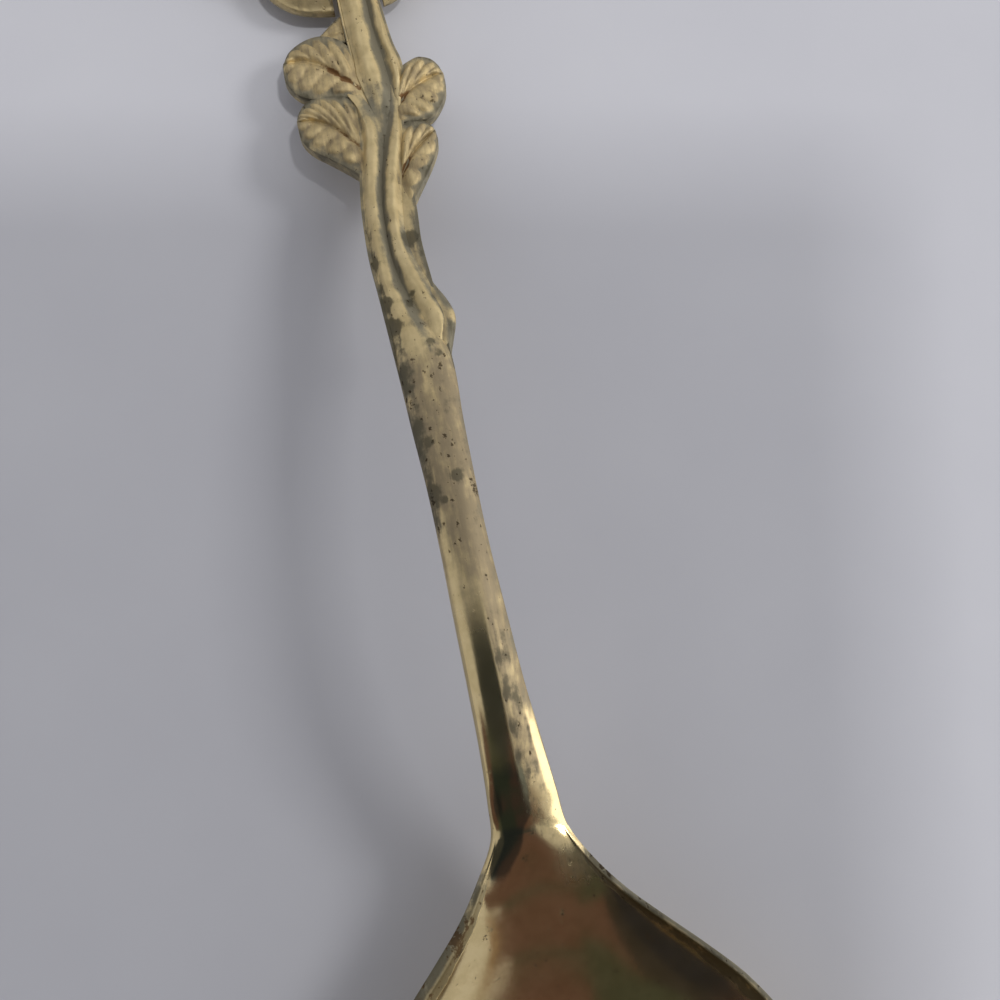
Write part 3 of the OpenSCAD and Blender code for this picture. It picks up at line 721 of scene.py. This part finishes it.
# The rim is knocked grey, the dish beside its left rim too, and the right shoulder is rough.
def bowl_marks(i, j):
    a, u, level = on_ring(bowl_rows, i, j)
    share = face_share(a, u)
    rim = ease((abs(u) - share) / (1 - share) * 2) if level else 0.0
    shoulder = ease((a + 0.0045) / 0.0026)
    rub = 0.75 * rim + 0.1 * (1 - level)
    rest = 0.0 if level else 0.7 * ease((0.0009 - ring_point(a, u, 0).z) / 0.0009)
    rough = shoulder * ease((u - 0.12) / 0.45) * level
    wall = ease((abs(u) / share - 0.9) / 0.06) * (1 - rim) * ease(-a / 0.004) * level
    knocked = rim + wall if u < 0 else 0.4 * rim
    wear = max(1.25 * rub, rest) - 0.3 * (1 - rim) * level
    stain = -0.25 + knocked + 0.5 * rough + 1.1 * wall
    grime = -0.5 + 0.8 * knocked + 0.45 * rough
    pitting = 0.24 + 0.75 * knocked + 0.3 * rough
    # The painted dark reflection runs on from the neck into the bowl.
    painted_reflection = neck_painted_reflection(a, u) * level
    satin = 0.7 * max(rim, knocked) + 0.5 * rough + 0.3 * wall * (1 - knocked)
    own = (wear, stain, grime, pitting, 0.7 * rough - 0.4, painted_reflection, satin)
    return mix_marks(stem_marks(a, u, level), own, ease(-a / 0.0025))


bowl = skin(
    "bowl", polished_gold, len(bowl_rows) - 1, ring_size,
    bowl_place, bowl_marks, round_columns=ring_corners, round_r=0.00014,
)
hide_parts("bowl")

# The shank is the plain lower half of the stem, domed on top and rounded below. It is
# polished like the bowl at the neck, and turns dull and mottled towards the leaves.
shank_rows = rows_between(0.0, shank_l, 0.0003)


def shank_place(i, j):
    return ring_point(*on_ring(shank_rows, i, j))


def shank_marks(i, j):
    return stem_marks(*on_ring(shank_rows, i, j))


shank = skin(
    "shank", polished_gold, len(shank_rows) - 1, ring_size,
    shank_place, shank_marks, round_columns=ring_corners, round_r=0.00016,
)
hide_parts("shank")

# The upper stem is a flat strap under the vines. Its face dips a little between them, its
# edges are rubbed grey, and it thins towards the flower, which it is joined to on the back.
stem_rows = rows_between(shank_l, stem_reach, 0.0003)
face_dip = 0.00008


def stem_place(i, j):
    a, u, level = on_ring(stem_rows, i, j)
    point = ring_point(a, u, level)
    if level:
        point.z -= crown(a) * bulge(u, crown_power(a, u)) + face_dip * bulge(u, 1.0)
    return point


# The groove is the line between the vines, worn grey and darkened with painted shade. Its rows
# are shares of the stem's length and of the neck's width.
groove_shares = [
    (0.5, 0.1), (0.559, -0.015), (0.62, -0.137), (0.681, -0.176), (0.73, -0.127), (0.769, -0.041),
    (0.809, 0.086), (0.85, 0.227), (0.898, 0.295), (0.92, 0.27), (0.95, 0.251), (1.007, 0.266),
    (1.12, 0.266),
]


def groove_x(a):
    return curve(groove_shares, a / stem_l) * neck_w


def face_marks(i, j):
    a, u, level = on_ring(stem_rows, i, j)
    wear, stain, grime, pitting, tarnish, painted_reflection, satin = stem_marks(a, u, level)
    groove = peak(section_x(a, u) - groove_x(a), 0.0006) if level else 0.0
    rim = ease((abs(u) - 0.8) / 0.15)
    flange = ease((u - 0.2) / 0.3) * ease((0.0405 - a) / 0.002) * level
    # In the groove the plate is worn grey, and its added stain is painted shade.
    wear += 0.9 * groove + 0.3 * rim + 0.5 * flange
    return (wear, stain + 0.3 * groove + 0.35 * flange, grime, 0.36, tarnish, 0.0, 0.6)


stem = skin(
    "stem", satin_gold, len(stem_rows) - 1, ring_size,
    stem_place, face_marks, round_columns=ring_corners, round_r=0.0002,
)
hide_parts("stem")

# The vines and stalks are soft ridges raised on the face of the stem. The main vine runs on
# from the dome of the shank, so it starts as wide and as full as that, and sharpens upwards.
# A row is a place along the stem, the ridge's middle, its half width and how high it stands.
main_vine_shares = [
    (0.44, -0.035, 0.351, 0.9), (0.5, -0.035, 0.351, 1.06), (0.53, -0.06, 0.345, 1.05),
    (0.559, -0.14, 0.32, 1.02), (0.58, -0.21, 0.285, 1.0), (0.62, -0.295, 0.23, 0.97),
    (0.667, -0.29, 0.2, 0.95), (0.713, -0.275, 0.19, 0.95), (0.759, -0.215, 0.19, 0.97),
    (0.8, -0.13, 0.19, 0.95), (0.833, -0.1, 0.18, 0.8), (0.867, -0.19, 0.17, 0.4),
    (0.89, -0.3, 0.16, 0.0),
]
side_vine_shares = [
    (0.495, 0.1, 0.19, 0.15), (0.53, 0.16, 0.2, 0.32), (0.563, 0.24, 0.21, 0.55),
    (0.589, 0.15, 0.19, 0.88), (0.617, 0.05, 0.185, 1.0), (0.641, -0.02, 0.17, 1.0),
    (0.672, -0.055, 0.145, 0.98), (0.713, -0.025, 0.145, 0.95), (0.754, 0.05, 0.148, 0.95),
    (0.794, 0.17, 0.155, 0.95), (0.82, 0.265, 0.16, 0.8), (0.86, 0.33, 0.14, 0.4),
    (0.89, 0.38, 0.12, 0.0),
]
flower_stalk_shares = [
    (0.82, 0.2, 0.15, 0.0), (0.86, 0.19, 0.19, 0.35), (0.907, 0.12, 0.215, 0.8),
    (0.944, 0.086, 0.225, 0.9), (0.981, 0.075, 0.23, 0.9), (1.02, 0.075, 0.23, 0.8),
    (1.06, 0.075, 0.23, 0.5), (1.12, 0.075, 0.23, 0.4),
]
side_stalk_shares = [
    (0.845, 0.4, 0.1, 0.0), (0.87, 0.42, 0.12, 0.5), (0.896, 0.452, 0.125, 0.85),
    (0.926, 0.435, 0.13, 0.88), (0.963, 0.378, 0.125, 0.85), (1.02, 0.348, 0.12, 0.75),
    (1.06, 0.348, 0.12, 0.5), (1.12, 0.348, 0.12, 0.4),
]
# How far the thorn stands out from the middle line, which the side vine runs over.
thorn_out_mm = [
    (27.9, 1.38), (28.6, 1.62), (29.4, 1.9), (30.1, 2.13), (30.6, 2.22), (31.2, 2.15),
    (31.9, 1.93), (32.7, 1.58), (33.6, 1.22), (34.3, 0.9),
]
thorn_share = 0.55
thorn_spread = 1.4
# The grey fork where the vines part into stalks, in the form of the blots above.
fork_mm = [(46.2, 0.15, 1.5)]
vine_h = 0.0006
vine_columns = 20
vine_depth = 0.0003


def vine(name, table, foot=False):
    last = min(table[-1][0] * stem_l, stem_reach)
    rows = rows_between(table[0][0] * stem_l, last, 0.00025)
    size = vine_columns + 2

    def vine_x(a, s):
        share = a / stem_l
        middle, half = (curve(table, share, c) * neck_w for c in (1, 2))
        shelf = mix(0.00002, 0.00012, ease((a - shank_l) / 0.003))
        thorn_w = curve(thorn_out_mm, a / mm) * mm - 0.0003 if s > 0 else 0.0
        room = max(side_w(a, s), thorn_w) - shelf - math.copysign(1.0, s) * middle
        if s > 0 and name == "side_vine":
            half *= mix(1.0, thorn_spread, ease(1 - abs(share - thorn_share) / 0.05))
        return middle + s * min(half, room)

    def vine_place(i, j):
        a = rows[i]
        share = a / stem_l
        s = -1 + 2 * min(j, vine_columns) / vine_columns
        if j > vine_columns:
            s = 1.0 if j == vine_columns + 1 else -1.0
        top = curve(table, share, 3)
        soft = ease((1 - abs(s)) / 0.85)
        run = ease((share - 0.5) / 0.08) if foot else 1.0
        height = top * vine_h * mix(bulge(s, 0.5), 0.8 * soft, run) - 0.00003
        if foot:
            height -= 0.12 * max(shank_l - a, 0.0)
        if j > vine_columns:
            height = -vine_depth
        wander = 0.00006 * noise.noise(Vector((share * 45, s, len(name))))
        crinkle = 0.00005 * noise.noise(Vector((a * 1900, s * 2.5, len(name)))) * soft
        z = max(edge_z(a) + height + crinkle * ease((share - 0.5) / 0.05), back_t)
        return Vector((vine_x(a, s) + wander * (1 - s * s), neck.y + a, z))

    def vine_marks(i, j):
        a = rows[i]
        share = a / stem_l
        s = -1 + 2 * min(j, vine_columns) / vine_columns
        x = vine_x(a, s)
        # The groove is worn grey and darkened with painted shade.
        groove = peak(x - groove_x(a), 0.0004)
        crest = ease((0.7 - abs(s)) / 0.45)
        left = right = shine = 0.0
        if name == "main_vine":
            left = ease((-s - 0.35) / 0.3) * ease((0.76 - share) / 0.1)
        if name == "side_vine":
            right = ease((s - 0.3) / 0.35) * ease((0.74 - share) / 0.06)
            shine = ease(1 - abs(share - 0.65) / 0.045) * ease((0.45 - abs(s)) / 0.3)
        fork = blot(fork_mm, a, x)
        grey = 0.95 * groove + 0.25 * left + 0.55 * right + 0.8 * fork
        right *= 1 + 1.3 * ease((0.6 - share) / 0.03)
        wear = -0.2 + 0.35 * (1 - crest) + grey - 0.3 * shine
        # The groove's stain here and its tarnish below are painted shade; its wear is real.
        stain = -0.25 + 0.35 * groove + 0.8 * left + 0.4 * right + 0.3 * fork
        stain += 1.4 * blot(blots_mm, a, x)
        tarnish = 0.05 - 0.25 * crest + 0.25 * groove
        grime, pitting, satin = -0.35 + 0.1 * left, 0.32 + 0.1 * left, 0.55 - 0.5 * shine
        own = (wear, stain, grime, pitting, tarnish, 0.0, satin)
        run = ease((share - 0.5) / 0.05) if foot else 1.0
        below = list(stem_marks(a, x / side_w(a, x), 1))
        below[-1] *= 0.43
        return mix_marks(below, own, run)

    piece = skin(name, satin_gold, len(rows) - 1, size, vine_place, vine_marks)
    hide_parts(name)


vine("main_vine", main_vine_shares, foot=True)
vine("side_vine", side_vine_shares)
vine("flower_stalk", flower_stalk_shares)
vine("side_stalk", side_stalk_shares)

# The thorn is a blunt stub on the right, where the side vine comes down over the edge. It is
# one with the side wall, and its tip is rubbed through to brown and grey.
thorn_rows = rows_between(thorn_out_mm[0][0] * mm, thorn_out_mm[-1][0] * mm, 0.0002)
thorn_columns = 28
thorn_root = 0.0006
thorn_tip = 0.0306


def box_round(turn, power=0.55):
    c, s = math.cos(turn), math.sin(turn)
    return math.copysign(abs(c) ** power, c), math.copysign(abs(s) ** power, s)


def thorn_place(i, j):
    a = thorn_rows[i]
    outer = curve(thorn_out_mm, a / mm) * mm
    inner = side_w(a, 1) - thorn_root
    c, s = box_round(math.tau * j / thorn_columns)
    swell = ease((outer - side_w(a, 1)) / 0.0005)
    half_h = wall_h(a) / 2 + 0.00008 * swell
    z = edge_z(a) - wall_h(a) / 2 - 0.00006 * (1 - swell) + half_h * s
    return Vector((mix(inner, outer, (c + 1) / 2), neck.y + a, z))


def thorn_marks(i, j):
    a = thorn_rows[i]
    c, s = box_round(math.tau * j / thorn_columns)
    tip = ease(1 - abs(a - thorn_tip) / 0.001)
    outer = ease((c - 0.2) / 0.4)
    brown = tip * outer
    grey = outer * (1 - tip)
    stain = -0.15 + 0.5 * brown + 0.35 * grey
    return (0.1 + 0.9 * grey, stain, -0.3 + 0.8 * brown, 0.34, 0.2, 0.0, 0.6)


thorn = skin(
    "thorn", satin_gold, len(thorn_rows) - 1, thorn_columns,
    thorn_place, thorn_marks,
)
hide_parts("thorn")

# The leaves are cast with the stem and stand out from its sides. Each has a sunk midrib and
# swollen lobes between its side veins. Its two edges and its midrib run from the root to the
# tip, in millimetres from the neck and across the stem.
leaf_t = 0.0009
leaf_droop = 0.00055
leaf_floor = 0.0011
leaf_rows_count = 44
leaf_columns = 48
leaf_tip_share = 0.985
# The whole set of leaves sits this much nearer the flower than their points say.
leaf_step = 0.0004
# Rust-brown pits beside the stem, in the form of the blots above.
rust_mm = [
    (49.6, -1.8, 0.3), (48.8, -1.15, 0.3), (48.45, 1.5, 0.3), (47.0, 1.9, 0.35),
    (41.6, 1.2, 0.35),
]


def along(points, u):
    x = u * (len(points) - 1)
    rows = [(k, *point) for k, point in enumerate(points)]
    return curve(rows, x, 1) * mm + leaf_step, curve(rows, x, 2) * mm


# Veins are the number of lobes above and below the midrib and how much they lean to the tip.
def leaf(name, upper, rib, lower, veins, swell, sunk=0.0):
    size = 2 * leaf_columns + 2

    def flat(i, j):
        p = leaf_tip_share * i / leaf_rows_count
        q = -1 + 2 * min(j, size - 1 - j) / leaf_columns
        top = j <= leaf_columns
        middle = along(rib, p)
        edge = along(upper if q > 0 else lower, p)
        a = mix(middle[0], edge[0], abs(q))
        x = mix(middle[1], edge[1], abs(q))
        reach = math.dist(middle, edge)
        return p, q, top, a, x, reach

    def lobes(p, q):
        side = abs(q)
        count, lean = veins[0] if q > 0 else veins[1]
        phase = count * (p - lean * side * (1 - 0.6 * p)) + 0.25
        lobe = abs(math.sin(math.pi * phase)) ** 0.6
        inside = ease((0.58 + 0.32 * lobe - side) / 0.14) * ease((0.97 - p) / 0.12)
        return lobe, inside

    def leaf_place(i, j):
        p, q, top, a, x, reach = flat(i, j)
        away = ease(p / 0.2)
        root = -0.00005 * (1 - away) - leaf_droop * p * p - sunk
        if not top:
            low = edge_z(a) + root - mix(upper_side_h, leaf_t, p)
            return Vector((x, neck.y + a, max(low, leaf_floor)))
        side = abs(q)
        lobe, inside = lobes(p, q)
        sharp = 1.0 if veins[0][0] else 0.3
        pillow = 0.45 * swell * math.sin(math.pi * side ** 0.8) + 0.3 * swell * (1 - side * side)
        raised = sharp * inside * (0.00003 + 0.00022 * lobe * ease(side / 0.3)) * (1 - 0.4 * p)
        groove = -0.00014 * sharp * peak(side * reach, 0.00016)
        groove *= ease(p / 0.1) * ease((0.9 - p) / 0.1)
        rough = 0.00005 * noise.noise(Vector((a * 1800, x * 1800, 3.0)))
        z = edge_z(a) + root + away * (pillow + raised + groove) + rough * away
        return Vector((x, neck.y + a, z))

    def leaf_marks(i, j):
        p, q, top, a, x, reach = flat(i, j)
        if not top:
            return (0.45, 0.0, -0.3, 0.3, 0.3, 0.0, 0.8)
        side = abs(q)
        lobe, inside = lobes(p, q)
        vein = (1 - lobe) * ease(side / 0.3)
        midrib = peak(side * reach, 0.00034) * ease((0.85 - p) / 0.2)
        wear = -0.25 + 0.75 * (1 - inside) + 0.1 * vein + 0.2 * ease((side - 0.85) / 0.1)
        stain = -0.35 + 0.15 * vein + 0.25 * (1 - inside) + 0.4 * ease((side - 0.88) / 0.08)
        midrib *= 1.0 if veins[0][0] else 0.4
        grime = -0.4 + 0.3 * vein * ease((0.6 - p) / 0.3) + 1.15 * midrib * ease((0.8 - p) / 0.5)
        grime += 0.9 * blot(rust_mm, a, x)
        return (wear, stain, grime, 0.3, 0.3 + 0.2 * vein, 0.0, 0.9)

    piece = skin(
        name, satin_gold, leaf_rows_count, size,
        leaf_place, leaf_marks, round_columns=(0, leaf_columns), round_r=0.00016,
    )
    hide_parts(name)


leaf(
    "leaf_upper_left",
    [(50.6, -0.3), (51.7, -1.2), (52.15, -2.3), (52.0, -3.4), (51.5, -4.3), (50.7, -4.85)],
    [(47.7, -0.3), (48.7, -1.3), (49.7, -2.2), (50.4, -3.1), (50.7, -4.0), (50.7, -4.85)],
    [(46.9, -0.4), (47.3, -1.7), (47.5, -3.1), (48.1, -4.2), (49.3, -4.85), (50.7, -4.85)],
    veins=[(5.0, 0.3), (5.0, 0.25)], swell=0.00024,
)
leaf(
    "leaf_lower_left",
    [(46.7, -0.7), (47.4, -1.7), (47.7, -2.8), (47.5, -3.8), (46.9, -4.45), (46.3, -4.7)],
    [(43.1, -0.9), (44.0, -1.6), (44.9, -2.2), (45.6, -2.9), (46.1, -3.7), (46.3, -4.7)],
    [(40.7, -1.0), (41.9, -2.1), (43.0, -3.2), (43.9, -4.1), (44.9, -4.6), (46.3, -4.7)],
    veins=[(6.0, 0.35), (5.0, 0.25)], swell=0.0002,
)
leaf(
    "leaf_upper_right",
    [(48.4, 1.9), (48.9, 2.8), (49.2, 3.6), (49.0, 4.3), (48.5, 4.75), (47.8, 5.02)],
    [(45.4, 1.2), (46.2, 2.0), (46.9, 2.65), (47.3, 3.3), (47.7, 4.1), (47.8, 5.02)],
    [(44.6, 1.2), (44.5, 2.6), (44.6, 3.6), (45.4, 4.35), (46.5, 4.9), (47.8, 5.02)],
    veins=[(4.0, 0.3), (5.0, 0.3)], swell=0.00022,
)
leaf(
    "leaf_lower_right",
    [(44.2, 1.2), (44.5, 2.0), (44.55, 2.6), (44.4, 3.15), (44.05, 3.5), (43.7, 3.68)],
    [(40.3, 0.8), (41.2, 1.3), (42.0, 1.8), (42.7, 2.4), (43.3, 3.1), (43.7, 3.68)],
    [(38.2, 1.1), (39.4, 1.85), (40.5, 2.55), (41.6, 3.2), (42.7, 3.65), (43.7, 3.68)],
    veins=[(3.0, 0.3), (4.0, 0.3)], swell=0.0002,
)
leaf(
    "leaf_small",
    [(53.6, -0.3), (53.3, -0.9), (52.95, -1.4), (52.55, -1.9), (52.15, -2.5), (51.8, -2.9)],
    [(52.4, -0.3), (52.3, -0.9), (52.2, -1.4), (52.1, -1.8), (51.9, -2.4), (51.8, -2.9)],
    [(51.4, -0.3), (51.5, -1.0), (51.6, -1.5), (51.7, -1.9), (51.7, -2.5), (51.8, -2.9)],
    veins=[(0.0, 0.0), (0.0, 0.0)], swell=0.00008, sunk=0.0003,
)

# The flower is an open rose cast with the spoon. Its outer petals roll over at the rim, each
# with one side over the next. The stem crosses the lowest, which is cut in two beside it.
core_low, core_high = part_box("rose_core")
flower = (core_low + core_high) / 2
rose_reach = 0.00955
core_r = (core_high.x - core_low.x) / 2
back_low, back_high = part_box("rose_back")
back_r = (back_high.x - back_low.x) / 2
petal_rows_count = 34
petal_columns = 30
rim_rows = 6
rim_round = 0.00022
petal_tuck = 0.0005
under_marks = (0.3, 0.0, -0.3, 0.32, 0.3, 0.0, 0.7)


# A petal fills the turn between two angles, from one radius to another. Its face has a height
# at the root, the lip and the rim. It tucks down on one side and laps over the next petal, and
# clips cut it off beside the stem.
def petal(
    name, turns, radii, heights, low, notch, lap=0.0, clips=(0.0, 0.0), lobe=None, curl=0.0,
):
    middle, half = lobe or (sum(turns) / 2, (turns[1] - turns[0]) / 2)
    size = 2 * petal_columns + 2
    seed = Vector((middle * 0.1, radii[1] * 900, 0.0))

    def spot(i, j):
        top = j <= petal_columns
        v = -1 + 2 * min(j, size - 1 - j) / petal_columns
        body = petal_rows_count - rim_rows
        t = min(i / body, 1.0)
        w = max(i - body, 0) / rim_rows
        first = turns[0]
        last = turns[1] + lap * ease(2 * t)
        angle = mix(first, last, (v + 1) / 2)
        share = min(max((angle - middle) / half, -1.2), 1.2)
        ruffle = 1 + 0.014 * noise.noise(seed + Vector((share * 2.2, 0.0, 0.0)))
        outer = radii[1] * (1 - notch * min(abs(share), 1.1) ** 3.2) * ruffle - rim_round
        r = mix(radii[0], outer, t) + rim_round * math.sin(math.pi / 2 * w)
        if any(clips):
            at_first = math.degrees(math.asin(min(clips[0] / r, 1.0)))
            at_last = math.degrees(math.asin(min(clips[1] / r, 1.0)))
            angle = mix(first + at_first, last - at_last, (v + 1) / 2)
        return top, v, t, w, share, r, math.radians(angle)

    def petal_place(i, j):
        top, v, t, w, share, r, angle = spot(i, j)
        root, lip, rim = heights
        profile = [(-0.8, lip), (0.0, root), (0.4, mix(root, lip, 0.2)), (0.8, lip), (1.0, rim)]
        crinkle = noise.noise(seed + Vector((share * 5.0, t * 3.0, 4.0)))
        face = curve(profile, t) + petal_tuck * share / 2 * ease(2 * t)
        face += 0.00014 * crinkle * ease(t * 1.5)
        face += 0.00003 * math.sin(share * 26) * ease(t * 2) * (1 - t)
        fold = noise.noise(seed + Vector((share * 17.0, t * 7.0, 9.0)))
        face += 0.00009 * fold * ease((t - 0.6) / 0.25) * (1 - 0.6 * w)
        under = low + curl * max(r - back_r, 0.0) ** 2 / (radii[1] - back_r) ** 2 if curl else low
        waist = (face + under) / 2
        z = face if top else under
        z = mix(z, waist, 1 - math.cos(math.pi / 2 * w))
        return Vector((flower.x + r * math.cos(angle), flower.y + r * math.sin(angle), z))

    def petal_marks(i, j):
        top, v, t, w, share, r, angle = spot(i, j)
        if not top:
            return under_marks
        deep = ease((0.5 - t) / 0.5)
        # Next to the stem the petal's end is darkened with painted shade, for the shadowed hollow
        # there.
        painted_shade_by_stem = ease((v - 0.86) / 0.1) if clips[1] else 0.0
        grime = -0.4 + 0.5 * deep + 0.9 * painted_shade_by_stem
        return (-0.15 + 0.4 * w, -0.2 + 0.4 * deep + 0.8 * painted_shade_by_stem, grime, 0.3, 0.0, 0.0, 0.35)

    piece = skin(
        name, satin_gold, petal_rows_count, size,
        petal_place, petal_marks, round_columns=(0, petal_columns), round_r=0.00012,
    )
    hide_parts(name)


petal_turn = 72.0
first_turn = 226.0
stem_turn = 270.0
lowest = (first_turn + petal_turn / 2, petal_turn / 2)
petal_root = back_t + 0.0013
outer_heights = (petal_root, petal_root + 0.00055, petal_root)
outer_radii = (core_r * 0.97, rose_reach)
stem_gap = 0.00015
left_gap = flower.x + side_w(0.981 * stem_l, -1) + 2 * stem_gap
right_gap = side_w(0.981 * stem_l, 1) - flower.x + stem_gap
outer_curl = 0.33 * 0.0013
outer_notch = 0.14


def outer_petal(n, turns, **own):
    petal(
        f"petal_{n}", turns, outer_radii, outer_heights, back_t, outer_notch, curl=outer_curl,
        **own,
    )


outer_petal(1, (first_turn, stem_turn), clips=(0.0, left_gap), lobe=lowest)
for n in range(1, 5):
    start = first_turn - n * petal_turn
    outer_petal(n + 1, (start, start + petal_turn), lap=5.0)
outer_petal(6, (stem_turn, first_turn + petal_turn), clips=(right_gap, 0.0), lobe=lowest)

# Five inner petals and three wrapped ones are cast on the raised middle. They are smaller and
# stand higher towards the bud.
core_h = core_high.z
core_bite = 0.0001
inner_heights = (core_h + 0.0006, core_h + 0.00125, core_h + 0.0009)
for n in range(1, 6):
    start = first_turn + petal_turn / 2 - n * petal_turn
    petal(
        f"inner_petal_{n}", (start, start + petal_turn), (0.0031, 0.0062), inner_heights,
        core_h - core_bite, notch=0.1, lap=8.0,
    )
wrap_turn = 120.0
wrap_heights = (core_h + 0.0013, core_h + 0.00195, core_h + 0.0014)
for n in range(1, 4):
    start = (n - 1) * wrap_turn
    petal(
        f"wrap_{n}", (start, start + wrap_turn), (0.0014, 0.0033), wrap_heights,
        core_h - core_bite, notch=0.08, lap=14.0,
    )

# The bud closes the middle of the flower: a rounded cone, cast with it, with the edge of its
# last petal wound round it.
bud_r = 0.0016
bud_rows = 30
bud_columns = 72
bud_winds = 1.6
bud_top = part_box("bud")[1].z


def bud_spot(i, j):
    share = i / bud_rows
    turn = math.tau * j / bud_columns
    return share, turn, (turn / math.tau + bud_winds * share) % 1.0


def bud_place(i, j):
    share, turn, wind = bud_spot(i, j)
    rise = bud_top - core_h
    tall = math.sin(math.pi / 2 * min(share / 0.85, 1.0))
    r = bud_r
    if share >= 0.35:
        r = bud_r * math.cos(math.pi / 2 * ease((share - 0.35) / 0.75) * 0.92)
    r *= 1 - 0.16 * wind * ease(share * 2)
    dip = 0.00035 * ease((share - 0.8) / 0.2)
    z = core_h - core_bite + (rise - 0.00005) * tall - dip
    return Vector((flower.x + r * math.cos(turn), flower.y + r * math.sin(turn), z))


def bud_marks(i, j):
    deep = ease((bud_spot(i, j)[2] - 0.8) / 0.2)
    return (-0.1, -0.2 + 0.4 * deep, -0.4 + 0.7 * deep, 0.28, 0.0, 0.0, 0.35)


bud = skin("bud", satin_gold, bud_rows, bud_columns, bud_place, bud_marks)
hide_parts("bud")

# The back of the flower is a flat disc with a rounded edge, which the spoon rests on. It and
# the raised middle that the petals grow from are hidden from above.
bm = bmesh.new()
marks = [bm.verts.layers.float.new(label) for label in mark_names]
made = bmesh.ops.create_circle(bm, cap_ends=True, segments=128, radius=back_r)
bmesh.ops.translate(bm, vec=(flower.x, flower.y, 0.0), verts=made["verts"])
raised = bmesh.ops.extrude_face_region(bm, geom=list(bm.faces))
top_verts = [g for g in raised["geom"] if isinstance(g, bmesh.types.BMVert)]
bmesh.ops.translate(bm, vec=(0.0, 0.0, back_t), verts=top_verts)
bmesh.ops.recalc_face_normals(bm, faces=bm.faces)
rim_edges = [e for e in bm.edges if abs(e.verts[0].co.z - e.verts[1].co.z) < 1e-6]
bmesh.ops.bevel(
    bm, geom=rim_edges, offset=0.00025, offset_type="OFFSET", affect="EDGES", segments=4,
    profile=0.5, material=-1,
)
for v in bm.verts:
    for layer, value in zip(marks, under_marks):
        v[layer] = value
for f in bm.faces:
    f.smooth = len(f.verts) == 4
rose_back = shown("rose_back", bm, satin_gold)
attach(rose_back, "root")
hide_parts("rose_back")
core_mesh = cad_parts["rose_core"].data
core_mesh.materials.clear()
core_mesh.materials.append(satin_gold)
